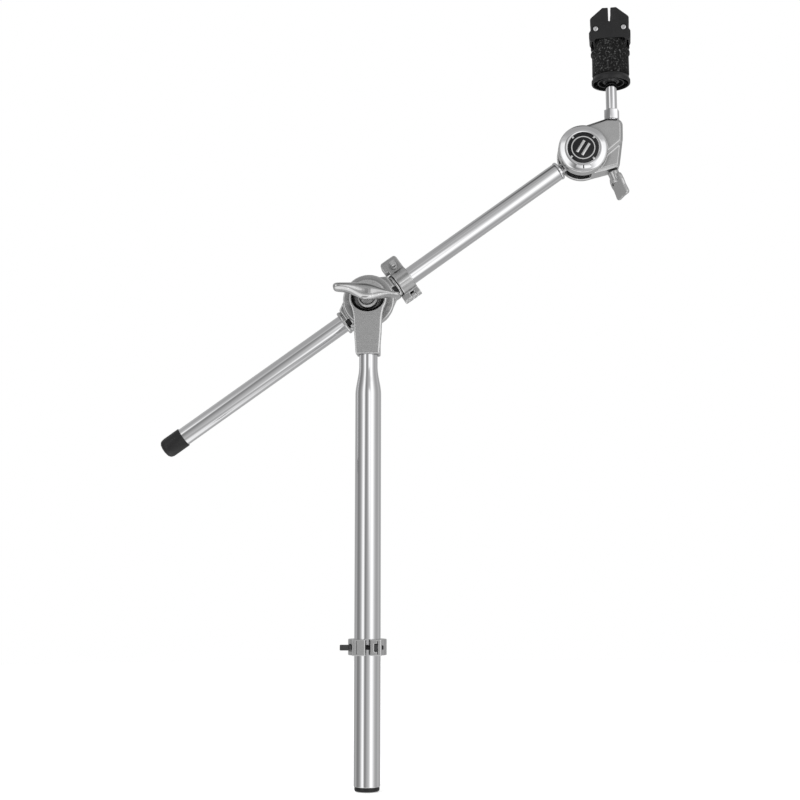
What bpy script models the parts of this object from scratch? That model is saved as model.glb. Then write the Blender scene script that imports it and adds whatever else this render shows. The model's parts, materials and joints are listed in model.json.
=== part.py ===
"""Cymbal boom stand: post, tilter, sliding boom arm, cymbal tilter head and quick-release seat.

Lengths below are in millimetres and are scaled to metres when a mesh is made. The origin is the
centre of the post's foot, +Z is up, the boom reaches towards +X and the wing nut faces -Y.
"""

import math

import bmesh
import bpy
from mathutils import Euler, Vector

MM = 0.001
GAP = 0.3                     # clearance between neighbouring pieces
ROUND = 24                    # sides of a large turned piece
SMALL_ROUND = 12              # sides of a pin, a screw or a hole

# Post
POST_R = 11.1                 # 7/8 inch tube
POST_WALL = 1.5
POST_NECK_R = 7.95
POST_SHOULDER_Z = 331.0       # the swage to the neck starts here
POST_NECK_Z = 356.0
POST_TOP_Z = 382.0
FOOT_FLANGE = 3.6
POST_LOCK_Z = 117.3
POST_LOCK_TURN = 6.0          # degrees, the lock's ears from -Y towards +X

# Tilter
PIVOT_Z = 414.8
BRACKET_BOTTOM_Z = 366.0
SOCKET_TOP_Z = 384.2
BRACKET_FRONT = -10.6
BRACKET_BACK = -2.6
BRACKET_HEAD_R = 16.3
BOSS_R = 10.8
BOSS_FRONT = -12.4
DISC_R = 22.4
BOLT_R = 4.0                  # M8 eye bolt

# Boom
BOOM_ELEVATION = 35.4         # degrees above the horizontal at rest
BOOM_Y = 17.5                 # the boom runs behind the post
BOOM_R = 7.94                 # 5/8 inch tube
BOOM_WALL = 1.2
BOOM_LOW = -220.0             # ends of the tube, measured along it from the pivot
BOOM_HIGH = 204.1
CAP_OPEN = -201.7
CAP_END = -222.8
CAP_R = 8.85
BARREL_HALF = 29.5
BARREL_R = 10.8
BARREL_BORE_R = 9.45
LINER_R = 9.15
EYE_R = 11.6
HEAD_REACH = 231.5            # from the tilter's pivot to the head's pivot

# Head
HOUSING_R = 21.6
HOUSING_FRONT = 1.3
HOUSING_BACK = 29.0
CAVITY_R = 17.9
CAVITY_FLOOR = 24.0
GYRO_R = 17.4
RING_R = 20.9
BADGE_R = 13.6
ROD_X = 216.0
ROD_R = 4.9
THREAD_R = 4.0
ROD_NUT_Z = 579.9
WING_BOLT_LEAN = 22.0         # degrees, from straight down towards +X

# Cymbal seat and quick-release nut
SEAT_Z = 613.6
LOWER_FELT_Z = 619.6
UPPER_FELT_Z = 645.0
NUT_BODY_Z = 652.4
NUT_PIN_Z = 662.0
NUT_PLATE_Z = 668.0
NUT_TURN = -6.0               # degrees about the rod
NUT_PIN_X = 12.3


# ---------------------------------------------------------------- helpers

def clear_scene():
    for item in list(bpy.data.objects):
        bpy.data.objects.remove(item, do_unlink=True)


def material(name, colour, metallic, roughness):
    made = bpy.data.materials.get(name)
    if made:
        return made
    made = bpy.data.materials.new(name)
    made.use_nodes = True
    shader = made.node_tree.nodes["Principled BSDF"]
    shader.inputs["Base Color"].default_value = (*colour, 1.0)
    shader.inputs["Metallic"].default_value = metallic
    shader.inputs["Roughness"].default_value = roughness
    made.diffuse_color = (*colour, 1.0)
    return made


def chrome():
    return material("chrome", (0.78, 0.78, 0.79), 1.0, 0.08)


def cast():
    return material("plated_casting", (0.62, 0.62, 0.63), 1.0, 0.28)


def steel():
    return material("steel", (0.6, 0.6, 0.6), 1.0, 0.25)


def black_plastic():
    return material("black_plastic", (0.02, 0.02, 0.02), 0.0, 0.45)


def felt():
    return material("black_felt", (0.03, 0.03, 0.03), 0.0, 0.95)


def nylon():
    return material("nylon", (0.05, 0.05, 0.05), 0.0, 0.6)


def empty(name, location, rotation=(0, 0, 0), parent=None):
    made = bpy.data.objects.new(name, None)
    made.location = Vector(location) * MM
    made.rotation_euler = Euler([math.radians(angle) for angle in rotation])
    made.parent = parent
    bpy.context.collection.objects.link(made)
    return made


def add(name, mesh, finish, parent, location=(0, 0, 0), rotation=(0, 0, 0)):
    """Put a closed bmesh, whose points are in millimetres, into the scene as a node."""
    bmesh.ops.scale(mesh, vec=(MM, MM, MM), verts=mesh.verts)
    bmesh.ops.recalc_face_normals(mesh, faces=mesh.faces)
    data = bpy.data.meshes.new(name)
    mesh.to_mesh(data)
    mesh.free()
    data.materials.append(finish)
    data.shade_smooth()
    data.set_sharp_from_angle(angle=math.radians(35))
    made = bpy.data.objects.new(name, data)
    made.location = Vector(location) * MM
    made.rotation_euler = Euler([math.radians(angle) for angle in rotation])
    made.parent = parent
    bpy.context.collection.objects.link(made)
    return made


def boolean(target, operation, name, mesh, location=(0, 0, 0), rotation=(0, 0, 0)):
    """Cut, or join, a helper shape that is placed in the target's own frame."""
    tool = add(name, mesh, target.data.materials[0], target, location, rotation)
    tool.hide_render = True
    tool.display_type = "WIRE"
    modifier = target.modifiers.new(name, "BOOLEAN")
    modifier.operation = operation
    modifier.solver = "EXACT"
    modifier.object = tool


def cut(target, name, mesh, location=(0, 0, 0), rotation=(0, 0, 0)):
    boolean(target, "DIFFERENCE", name, mesh, location, rotation)


def join(target, name, mesh, location=(0, 0, 0), rotation=(0, 0, 0)):
    boolean(target, "UNION", name, mesh, location, rotation)


def turned(profile, sides=ROUND, ring=False):
    """Turn (radius, height) points about local Z. A ring's profile closes on itself."""
    mesh = bmesh.new()
    rows = []
    for radius, height in profile:
        if radius < 1e-6:
            rows.append([mesh.verts.new((0, 0, height))] * sides)
            continue
        row = []
        for step in range(sides):
            angle = 2 * math.pi * step / sides
            row.append(mesh.verts.new((radius * math.cos(angle), radius * math.sin(angle), height)))
        rows.append(row)
    pairs = list(zip(rows, rows[1:]))
    if ring:
        pairs.append((rows[-1], rows[0]))
    for low, high in pairs:
        for step in range(sides):
            after = (step + 1) % sides
            corners = []
            for vertex in (low[step], low[after], high[after], high[step]):
                if vertex not in corners:
                    corners.append(vertex)
            if len(corners) > 2:
                mesh.faces.new(corners)
    return mesh


def rod(radius, low, high, sides=SMALL_ROUND, edge=0.0):
    """A solid round bar along local Z, with its end edges broken by edge."""
    if edge:
        return turned([(0, low), (radius - edge, low), (radius, low + edge),
                       (radius, high - edge), (radius - edge, high), (0, high)], sides)
    return turned([(0, low), (radius, low), (radius, high), (0, high)], sides)


def tube(inner, outer, low, high, sides=ROUND):
    return turned([(inner, low), (outer, low), (outer, high), (inner, high)], sides, ring=True)


def prism(outline, low, high, axis="Z"):
    """Extrude an outline. Along Z it lies in XY, along Y it lies in XZ, along X it lies in YZ."""
    mesh = bmesh.new()
    ends = []
    for height in (low, high):
        if axis == "Z":
            ends.append([mesh.verts.new((a, b, height)) for a, b in outline])
        elif axis == "Y":
            ends.append([mesh.verts.new((a, height, b)) for a, b in outline])
        else:
            ends.append([mesh.verts.new((height, a, b)) for a, b in outline])
    mesh.faces.new(list(reversed(ends[0])))
    mesh.faces.new(ends[1])
    count = len(outline)
    for step in range(count):
        after = (step + 1) % count
        mesh.faces.new((ends[0][step], ends[0][after], ends[1][after], ends[1][step]))
    return mesh


def block(x, y, z):
    """A box between the given limits."""
    return prism([(x[0], y[0]), (x[1], y[0]), (x[1], y[1]), (x[0], y[1])], z[0], z[1])


def loft(sections):
    """Skin a row of closed sections, which all have the same number of points."""
    mesh = bmesh.new()
    rows = [[mesh.verts.new(point) for point in section] for section in sections]
    count = len(rows[0])
    for low, high in zip(rows, rows[1:]):
        for step in range(count):
            after = (step + 1) % count
            mesh.faces.new((low[step], low[after], high[after], high[step]))
    mesh.faces.new(rows[0])
    mesh.faces.new(rows[-1])
    return mesh


def arc(radius, start, end, steps, centre=(0.0, 0.0)):
    """Points along an arc, its angles in degrees."""
    points = []
    for step in range(steps + 1):
        angle = math.radians(start + (end - start) * step / steps)
        points.append((centre[0] + radius * math.cos(angle), centre[1] + radius * math.sin(angle)))
    return points


def filleted(corners, radius, steps=3):
    """Round every corner of an outline."""
    points = []
    count = len(corners)
    for index, corner in enumerate(corners):
        here = Vector(corner)
        back = (Vector(corners[index - 1]) - here).normalized()
        on = (Vector(corners[(index + 1) % count]) - here).normalized()
        half = back.angle(on) / 2
        reach = radius / math.tan(half)
        middle = here + (back + on).normalized() * (radius / math.sin(half))
        start = here + back * reach - middle
        end = here + on * reach - middle
        turn = start.angle_signed(end)
        for step in range(steps + 1):
            angle = -turn * step / steps
            points.append((middle.x + start.x * math.cos(angle) - start.y * math.sin(angle),
                           middle.y + start.x * math.sin(angle) + start.y * math.cos(angle)))
    return points


def coil(wire, radius, low, high, turns, steps=9, sides=4):
    """A helical spring along local Z."""
    sections = []
    total = turns * steps
    for step in range(total + 1):
        angle = 2 * math.pi * step / steps
        height = low + (high - low) * step / total
        section = []
        for side in range(sides):
            around = 2 * math.pi * side / sides
            reach = radius + wire * math.cos(around)
            section.append((reach * math.cos(angle), reach * math.sin(angle),
                            height + wire * math.sin(around)))
        sections.append(section)
    return loft(sections)


# ---------------------------------------------------------------- post

def make_post(base):
    inner = POST_R - POST_WALL
    neck_inner = POST_NECK_R - POST_WALL
    rise = POST_NECK_Z - POST_SHOULDER_Z
    outside = []
    inside = []
    for step in range(5):
        part = step / 4
        ease = part * part * (3 - 2 * part)
        height = POST_SHOULDER_Z + rise * part
        outside.append((POST_R + (POST_NECK_R - POST_R) * ease, height))
        inside.append((inner + (neck_inner - inner) * ease, height))
    low = FOOT_FLANGE + GAP
    profile = [(POST_R, low), *outside, (POST_NECK_R, POST_TOP_Z), (neck_inner, POST_TOP_Z)]
    profile += [*reversed(inside), (inner, low)]
    add("post_tube", turned(profile, ring=True), chrome(), base)

    spigot = inner - GAP
    plug = [(0, 0), (9.5, 0), (10.2, 0.3), (10.5, 1.0), (10.5, FOOT_FLANGE), (spigot, FOOT_FLANGE),
            (spigot, 17), (spigot - 1, 19), (6.5, 19), (6.5, 8), (0, 8)]
    add("post_foot_plug", turned(plug), black_plastic(), base)


def bracket_outline():
    """Front view of the bracket: a shank that widens upwards and flares into a round head."""
    right = [(10.3, BRACKET_BOTTOM_Z), (11.7, 384.0), (12.0, 396.0), (12.9, 401.5)]
    head = arc(BRACKET_HEAD_R, -30, 210, 24, (0, PIVOT_Z))
    left = [(-x, z) for x, z in reversed(right)]
    return right + head + left


def make_bracket(base):
    bracket = add("tilter_bracket", prism(bracket_outline(), BRACKET_FRONT, BRACKET_BACK, "Y"), cast(), base)
    socket = filleted([(-10.2, -8.0), (10.2, -8.0), (10.2, 9.2), (-10.2, 9.2)], 4.0)
    join(bracket, "socket_block", prism(socket, BRACKET_BOTTOM_Z, SOCKET_TOP_Z))
    cut(bracket, "neck_bore", rod(POST_NECK_R + GAP, 360, POST_TOP_Z + GAP, ROUND))
    cut(bracket, "roll_pin_hole", rod(1.8, -15, 15), (0, 0, 375), (0, 90, 0))

    edge = arc(33.0, -109.0, -71.0, 6, (0, PIVOT_Z - BOSS_R + 32.6))
    rim = arc(14.3, -38, 218, 18, (0, PIVOT_Z))
    cut(bracket, "head_recess", prism(edge + rim, BRACKET_FRONT - 1, -7.6, "Y"))
    join(bracket, "bolt_boss", rod(BOSS_R, 0, 7, ROUND), (0, BOSS_FRONT + 7, PIVOT_Z), (90, 0, 0))
    cut(bracket, "washer_recess", rod(13.6, 0, 2.2, ROUND), (0, BRACKET_BACK + 1.0, PIVOT_Z), (90, 0, 0))
    cut(bracket, "bolt_hole", rod(BOLT_R + 0.4, 0, 24), (0, 5, PIVOT_Z), (90, 0, 0))

    tube_node = bpy.data.objects["post_tube"]
    cut(tube_node, "tube_roll_pin_hole", rod(1.8, -15, 15), (0, 0, 375), (0, 90, 0))
    add("bracket_roll_pin", tube(0.7, 1.5, -9.9, 9.9, 14), steel(), base, (0, 0, 375), (0, 90, 0))

    washer = tube(BOLT_R + 0.4, 13.2, 0, 1.2)
    add("friction_washer", washer, nylon(), base, (0, BRACKET_BACK + 0.3, PIVOT_Z), (90, 0, 0))


# ---------------------------------------------------------------- memory locks

def lock_jaw(side, bore, outer, ears, depth, half, gap):
    """Half of a split collar in its cross-section. side is -1 or 1; ears gives its inner and outer faces."""
    inner_face, outer_face = ears
    front_in = math.degrees(math.acos(inner_face / bore))
    front_out = math.degrees(math.acos(outer_face / outer))
    back_in = math.degrees(math.asin(gap / bore))
    back_out = math.degrees(math.asin(gap / outer))
    outline = arc(bore, -front_in, 90 - back_in, 12)
    outline += arc(outer, 90 - back_out, -front_out, 14)
    outline += [(outer_face, -depth + 1.2), (outer_face - 1.2, -depth), (inner_face + 0.8, -depth)]
    outline += [(inner_face, -depth + 0.8)]
    return prism([(side * x, y) for x, y in outline], -half, half)


def make_lock(prefix, parent, screw_parent, names, bore, outer, ears, depth, half, screw_y, head_side,
              knuckle, overhang=0.0):
    """A split collar: two jaws on a hinge pin, drawn together by a square-headed key screw.

    The tube runs along local Z, the ears point to -Y, and the hinge is at +Y. The ears and the hinge
    may overhang the collar towards -Z.
    """
    third = half / 3
    knuckle_y, knuckle_r, pin_r = knuckle
    for side, name, ear in ((-1, names[0], ears[0]), (1, names[1], ears[1])):
        jaw = add(prefix + name, lock_jaw(side, bore, outer, ear, depth, half, 0.3), cast(), parent)
        spans = [(-third + 0.2, third - 0.2)]
        clears = [(-half - 1, -third), (third, half + 1)]
        if side == 1:
            spans = [(-half, -third - 0.2), (third + 0.2, half)]
            clears = [(-third - 0.01, third + 0.01)]
        if overhang:
            ear_low = block(sorted((side * (ear[0] + 0.05), side * (ear[1] - 0.05))),
                            (-depth + 0.05, -outer - 0.9), (-half - overhang, 0))
            join(jaw, f"{prefix}{name}_overhang", ear_low)
        for number, (low, high) in enumerate(clears):
            cut(jaw, f"{prefix}{name}_clear_{number}", rod(knuckle_r + GAP, low, high), (0, knuckle_y, 0))
        for number, (low, high) in enumerate(spans):
            lug = [(0.45, bore + 1.1), (knuckle_r, bore + 1.1)] + arc(knuckle_r, 0, 265, 14, (0, knuckle_y))
            lug = prism([(side * x, y) for x, y in lug], low, high)
            join(jaw, f"{prefix}{name}_knuckle_{number}", lug)
        if overhang and side == 1:
            tail = arc(knuckle_r - 0.1, 0, 342, 15, (0, knuckle_y))
            join(jaw, f"{prefix}{name}_tail", prism(tail, -half - overhang, -third - 0.3))
        cut(jaw, f"{prefix}{name}_pin_hole", rod(pin_r + 0.25, -half - 9, half + 9), (0, knuckle_y, 0))
        cut(jaw, f"{prefix}{name}_screw_hole", rod(2.4, -30, 30), (0, screw_y, 0), (0, 90, 0))
        if side == -head_side:
            middle = side * (ear[0] + ear[1]) / 2
            slot = block((middle - 1.5, middle + 1.5), (-depth - 1, screw_y + 3.4), (-3.3, 3.3))
            cut(jaw, f"{prefix}{name}_nut_slot", slot)
            nut = prism(filleted([(-3.0, -3.0), (3.0, -3.0), (3.0, 3.0), (-3.0, 3.0)], 0.4, 1), -1.2, 1.2)
            nut_node = add(prefix + "nut", nut, steel(), parent, (middle, screw_y, 0), (0, 90, 0))
            cut(nut_node, prefix + "nut_thread", rod(2.3, -3, 3))
    pin_mesh = rod(pin_r, -half - overhang + 0.2, half - 0.2, SMALL_ROUND, 0.3)
    add(prefix + "hinge_pin", pin_mesh, steel(), parent, (0, knuckle_y, 0))

    head_face = ears[0][1] if head_side < 0 else ears[1][1]
    far_face = ears[1][1] if head_side < 0 else ears[0][1]
    shank = [(0, -far_face - 1.5), (1.6, -far_face - 1.5), (2.0, -far_face - 1.0), (2.0, head_face + GAP)]
    collar = [(3.2, head_face + GAP), (3.2, head_face + 2.2), (2.6, head_face + 2.6), (0, head_face + 2.6)]
    screw = add(prefix + "key_screw", turned(shank + collar, 16), steel(), screw_parent,
                rotation=(0, 90 * head_side, 0))
    square = filleted([(-2.3, -2.3), (2.3, -2.3), (2.3, 2.3), (-2.3, 2.3)], 0.7, 2)
    join(screw, prefix + "key_square", prism(square, head_face + 2.0, head_face + 9.9))


def make_post_lock(base):
    centre = empty("post_lock_axis", (0, 0, POST_LOCK_Z), (0, 0, POST_LOCK_TURN), base)
    screw = empty("post_lock_screw_axis", (0, -16.6, 0), parent=centre)
    make_lock("post_lock_", centre, screw, ("left_jaw", "right_jaw"), POST_R + GAP, 16.2,
              ((2.0, 13.2), (2.0, 11.6)), 20.6, 6.7, -16.6, -1, (17.2, 3.2, 1.5))


def make_boom_lock(boom_axis):
    centre = empty("boom_lock_axis", (36.4, 0, 0), (0, 90, 0), parent=boom_axis)
    turn = empty("boom_lock_turn", (0, 0, 0), (0, 0, -90), parent=centre)
    screw = empty("boom_lock_screw_axis", (0, -15.4, 0), parent=turn)
    make_lock("boom_lock_", turn, screw, ("rear_jaw", "front_jaw"), BOOM_R + GAP, 11.6,
              ((0.8, 6.0), (0.8, 6.0)), 23.2, 6.7, -15.4, 1, (15.9, 3.0, 1.4), 3.4)


# ---------------------------------------------------------------- boom clamp and wing nut

def make_clamp(tilt):
    """The casting that turns with the boom: friction disc in front, barrel for the tube behind it."""
    clamp = add("boom_clamp", turned([(0, -5.5), (DISC_R, -5.5), (DISC_R, 1.2), (DISC_R - 0.8, 2.0), (0, 2.0)]),
                cast(), tilt, rotation=(90, 0, 0))
    web = arc(DISC_R - 1.5, 55, 125, 8) + [(-BARREL_HALF + 3.7, 9.0), (-BARREL_HALF + 3.7, -9.0)]
    web += arc(DISC_R - 1.5, 235, 305, 8) + [(BARREL_HALF - 3.7, -9.0), (BARREL_HALF - 3.7, 9.0)]
    join(clamp, "clamp_web", prism(web, -14.0, -4.0))
    barrel = rod(BARREL_R, -BARREL_HALF, BARREL_HALF, ROUND, 0.7)
    join(clamp, "clamp_barrel", barrel, (0, 0, -BOOM_Y), (0, 90, 0))
    join(clamp, "clamp_boss", rod(13.7, -8.8, 8.8, ROUND, 0.8), (0, 0, -BOOM_Y), (0, 90, 0))
    room = EYE_R + GAP
    pocket = arc(room, 0, 180, 15, (0, -BOOM_Y)) + [(-room, -BOOM_Y - 20), (room, -BOOM_Y - 20)]
    cut(clamp, "eye_pocket", prism(pocket, -5.4, 5.4, "X"))
    cut(clamp, "barrel_bore", rod(BARREL_BORE_R, -40, 40, ROUND), (0, 0, -BOOM_Y), (0, 90, 0))
    cut(clamp, "clamp_bolt_hole", rod(BOLT_R + 0.4, -BOOM_Y, 5))
    for number, low in enumerate((-BARREL_HALF + 2.4, BARREL_HALF - 6.4)):
        cut(clamp, f"index_window_{number}", block((low, low + 4.0), (-7.9, -1.7), (-BOOM_Y + 4.3, -1.0)))

    eye = add("clamp_eye_bolt", tube(BARREL_BORE_R, EYE_R, -5.0, 5.0), steel(), tilt, (0, BOOM_Y, 0), (0, 90, 0))
    shank = rod(BOLT_R, BARREL_BORE_R + 0.6, BOOM_Y + 29.4, SMALL_ROUND, 0.5)
    join(eye, "eye_shank", shank, (0, 0, 0), (90, 0, 0))


def make_liner(boom_axis):
    """Split nylon sleeve between the tube and the clamp's bore."""
    outline = arc(BOOM_R + GAP, 5, 355, 32) + arc(LINER_R, 355, 5, 32)
    add("boom_liner", prism(outline, -BARREL_HALF + 0.4, BARREL_HALF - 0.4), nylon(), boom_axis,
        rotation=(0, 90, 0))


def wing_section(x, centre, thick, front, back):
    """An eight-sided rounded bar section in the YZ plane."""
    half = thick / 2
    soft = min(half, 2.6) * 0.6
    return [(x, front, centre - half + soft), (x, front + soft, centre - half),
            (x, back - soft, centre - half), (x, back, centre - half + soft),
            (x, back, centre + half - soft), (x, back - soft, centre + half),
            (x, front + soft, centre + half), (x, front, centre + half - soft)]


def make_wing_nut(tilt_front):
    washer = tube(BOLT_R + 0.4, 8.4, 0, 1.6)
    add("wing_nut_washer", washer, steel(), tilt_front, (0, BOSS_FRONT - GAP, 0), (90, 0, 0))
    front = BOSS_FRONT - GAP - 1.6 - GAP
    hub = turned([(0, -17.5), (5.2, -17.5), (6.4, -15.5), (7.2, -8.0), (7.6, -1.0), (7.2, 0), (0, 0)])
    nut = add("tilter_wing_nut", hub, cast(), tilt_front, (0, front, 0), (-90, 1.5, 0))
    sections = []
    for x, centre, thick, near, far in (
            (-28.2, 2.6, 3.0, 11.0, 22.0), (-27.4, 2.5, 5.6, 9.4, 23.6), (-25.4, 2.3, 6.6, 8.0, 24.6),
            (-20.0, 1.6, 6.0, 6.4, 24.0), (-14.0, 0.8, 7.2, 5.4, 22.0), (-7.0, 0.4, 10.0, 4.6, 19.6),
            (0.0, 0.0, 11.8, 4.4, 18.8), (7.0, -0.4, 10.0, 4.6, 19.6), (14.0, -0.8, 7.2, 5.4, 22.0),
            (20.0, -1.6, 6.0, 6.4, 24.0), (25.4, -2.3, 5.6, 8.0, 24.6), (27.4, -2.5, 4.6, 9.4, 23.6),
            (28.2, -2.6, 3.0, 11.0, 22.0)):
        sections.append([(px, -pz, -py) for px, py, pz in wing_section(x, centre, thick, near, far)])
    join(nut, "wing_nut_wings", loft(sections))
    cut(nut, "wing_nut_thread", rod(BOLT_R + 0.35, -15.6, 4.0))


# ---------------------------------------------------------------- boom tube

def make_boom(boom_axis):
    along = (0, 90, 0)
    boom = add("boom_tube", tube(BOOM_R - BOOM_WALL, BOOM_R, BOOM_LOW, BOOM_HIGH), chrome(), boom_axis,
               rotation=along)
    pin_at = 193.0
    cut(boom, "boom_pin_hole", rod(1.5, -12, 12), (0, 0, pin_at), (0, 90, 0))

    bore = BOOM_R + 0.22
    cap = [(bore, CAP_OPEN), (CAP_R - 0.3, CAP_OPEN), (CAP_R, CAP_OPEN + -0.3), (CAP_R, -216.5)]
    cap += [(8.55, -218.9), (7.6, -220.9), (6.0, -222.1), (3.6, -222.7), (0, CAP_END)]
    cap += [(0, BOOM_LOW - GAP), (bore, BOOM_LOW - GAP)]
    add("boom_end_cap", turned(cap, ring=True), black_plastic(), boom_axis, rotation=along)

    spigot = BOOM_R - BOOM_WALL - GAP
    rim = HEAD_REACH - GYRO_R
    plug = [(0, 181), (spigot - 0.8, 181), (spigot, 182), (spigot, BOOM_HIGH + GAP), (8.0, BOOM_HIGH + GAP)]
    plug += [(8.5, BOOM_HIGH + 0.8), (8.5, 206.6), (8.0, 207.2), (5.0, 207.2), (4.2, 208.4)]
    plug += [(4.2, rim - 0.5), (3.0, rim - 0.5), (3.0, rim + 7.0), (0, rim + 7.0)]
    plug_node = add("boom_tip_plug", turned(plug, 20), chrome(), boom_axis, rotation=along)
    cut(plug_node, "plug_pin_hole", rod(1.5, -12, 12), (0, 0, pin_at), (0, 90, 0))
    add("boom_tip_roll_pin", rod(1.2, -7.7, 7.7, 14, 0.2), steel(), boom_axis, (pin_at, 0, 0))

    hub = [(4.2, -6.2), (7.0, -6.2), (7.0, -4.9), (GYRO_R - 0.5, -4.9), (GYRO_R, -4.4)]
    hub += [(GYRO_R, 4.4), (GYRO_R - 0.5, 4.9), (7.0, 4.9), (7.0, 11.0), (4.2, 11.0)]
    gyro = add("gyro_disc", turned(hub, ring=True), steel(), boom_axis, (HEAD_REACH, 0, 0), (90, 0, 0))
    cut(gyro, "gyro_neck_bore", rod(3.3, -GYRO_R - 2, -GYRO_R + 7.6), (0, 0, 0), (0, 90, 0))


# ---------------------------------------------------------------- cymbal tilter head

def make_head(head):
    """Housing seen from the front: a round drum with a casting to its right that holds the rod."""
    drum = [(0, -HOUSING_BACK), (HOUSING_R - 1.5, -HOUSING_BACK), (HOUSING_R, -HOUSING_BACK + 1.5),
            (HOUSING_R, -HOUSING_FRONT - 0.8), (HOUSING_R - 0.8, -HOUSING_FRONT), (19.0, -HOUSING_FRONT),
            (19.0, -6.4), (CAVITY_R, -6.4), (CAVITY_R, -CAVITY_FLOOR), (3.8, -CAVITY_FLOOR), (3.8, -9.0),
            (1.9, -9.0), (1.9, -22.0), (0, -22.0)]
    housing = add("head_housing", turned(drum), cast(), head, rotation=(90, 0, 0))
    arm = [(30.6, -14.6), (33.0, -11.0), (36.0, 12.2), (36.2, 24.0), (33.4, 29.0), (21.8, 29.8)]
    arm += arc(HOUSING_R - 0.1, 108.3, 112, 1) + arc(HOUSING_R - 1.7, 112, -72, 18)
    arm += arc(HOUSING_R - 0.1, -72, -76.1, 1)
    join(housing, "rod_arm", prism(arm, -HOUSING_BACK + 1.0, -6.6))
    slot = arc(CAVITY_R - 1.5, 292, 151.4, 12) + arc(HOUSING_R + 3, 151.4, 292, 12)
    cut(housing, "neck_slot", prism(slot, -BOOM_Y - 5.8, -BOOM_Y + 5.8))
    rod_x = ROD_X - head.location.x / MM
    rod_z = ROD_NUT_Z - head.location.z / MM
    cut(housing, "rod_socket", rod(ROD_R + GAP, 0, 30), (rod_x, rod_z - 22.5, -BOOM_Y), (-90, 0, 0))
    shoe_pocket = arc(CAVITY_R - 1.0, -10, 38, 8) + arc(CAVITY_R + 3.6, 38, -10, 8)
    cut(housing, "shoe_pocket", prism(shoe_pocket, -BOOM_Y - 4.6, -BOOM_Y + 4.6))

    ring = [(0, -0.6), (BADGE_R + GAP, -0.6), (BADGE_R + GAP, 0.9), (BADGE_R + 0.9, 1.3), (17.6, 1.0)]
    ring += [(20.2, 0.0), (RING_R, -0.7), (RING_R, -1.0), (18.6, -1.0), (18.6, -6.0), (0, -6.0)]
    cap = add("head_front_cap", turned(ring), chrome(), head, rotation=(90, 0, 0))
    cut(cap, "cap_screw_hole", rod(2.3, -10, 2, 14))
    cut(cap, "cap_screw_sink", turned([(0, -3.0), (2.3, -3.0), (4.3, -0.9), (4.3, 3.0), (0, 3.0)], SMALL_ROUND))
    cut(cap, "cap_axle_recess", rod(7.4, -8.0, -5.0))

    badge = turned([(0, -0.1), (BADGE_R, -0.1), (BADGE_R, 0.5), (BADGE_R - 0.4, 0.8), (0, 0.8)])
    add("head_badge", badge, black_plastic(), head, rotation=(90, 0, 0))
    screw = [(0, -18.0), (1.6, -18.0), (1.6, -3.4), (3.7, -1.3), (3.7, -0.9), (0, -0.9)]
    add("head_cap_screw", turned(screw, SMALL_ROUND), steel(), head, rotation=(90, 0, 0))
    shoe = arc(GYRO_R + 0.8, -6, 35, 8) + arc(CAVITY_R + 3.2, 35, -6, 8)
    add("head_brake_shoe", prism(shoe, -BOOM_Y - 4.2, -BOOM_Y + 4.2), steel(), head, rotation=(90, 0, 0))
    return housing


def make_wing_bolt(head, housing):
    """The bolt's own frame has its origin where it leaves the housing and +Z pointing down its axis."""
    exit_point = (25.6, BOOM_Y, -13.0)
    axis = empty("head_wing_axis", exit_point, (0, 180 - WING_BOLT_LEAN, 0), parent=head)
    stem = turned([(0, -10.0), (1.5, -10.0), (3.0, -8.0), (3.0, 6.4), (0, 6.4)], SMALL_ROUND)
    add("head_bolt_stem", stem, steel(), axis)
    collar = [(3.3, 3.6), (4.6, 3.6), (5.0, 4.4), (5.0, 8.6), (4.4, 12.0), (0, 13.0), (0, 6.8), (3.3, 6.8)]
    wing = add("head_wing", turned(collar, 16, ring=True), cast(), axis, rotation=(0, 0, 66))
    sections = []
    for x, centre, low, high in (
            (-9.4, 1.2, 11.0, 26.4), (-8.6, 1.1, 9.0, 28.0), (-6.0, 0.8, 7.6, 28.6), (-2.6, 0.4, 7.2, 28.4),
            (2.6, -0.4, 7.2, 28.4), (6.0, -0.8, 7.6, 28.6), (8.6, -1.1, 9.0, 28.0), (9.4, -1.2, 11.0, 26.4)):
        half = 1.9 if abs(x) < 8 else 1.3
        sections.append([(x, centre - half, low), (x, centre + half, low), (x, centre + half, high),
                         (x, centre - half, high)])
    join(wing, "head_wing_leaves", loft(sections))

    bore_at = (exit_point[0], exit_point[2], -BOOM_Y)
    cut(housing, "wing_bolt_bore", rod(3.4, -6.0, 11.5), bore_at, (-90, 0, WING_BOLT_LEAN))


def make_rod(stack):
    """The rod, its lock nut and the sleeve that the cymbal sits on. Heights are above the ground."""
    low = ROD_NUT_Z - 22.0
    mesh = turned([(0, low), (ROD_R - 0.6, low), (ROD_R, low + 0.6), (ROD_R, 621.0), (THREAD_R, 622.0),
                   (THREAD_R, 671.8), (THREAD_R - 0.8, 672.6), (0, 672.6)], 20)
    add("cymbal_rod", mesh, chrome(), stack)
    across = 12.0 / math.sqrt(3)
    hexagon = arc(across, 12, 312, 5)
    nut = add("rod_lock_nut", prism(hexagon, ROD_NUT_Z + GAP, ROD_NUT_Z + 9.4), chrome(), stack)
    cut(nut, "rod_nut_bore", rod(ROD_R + GAP, ROD_NUT_Z - 3, ROD_NUT_Z + 15, 20))


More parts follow.
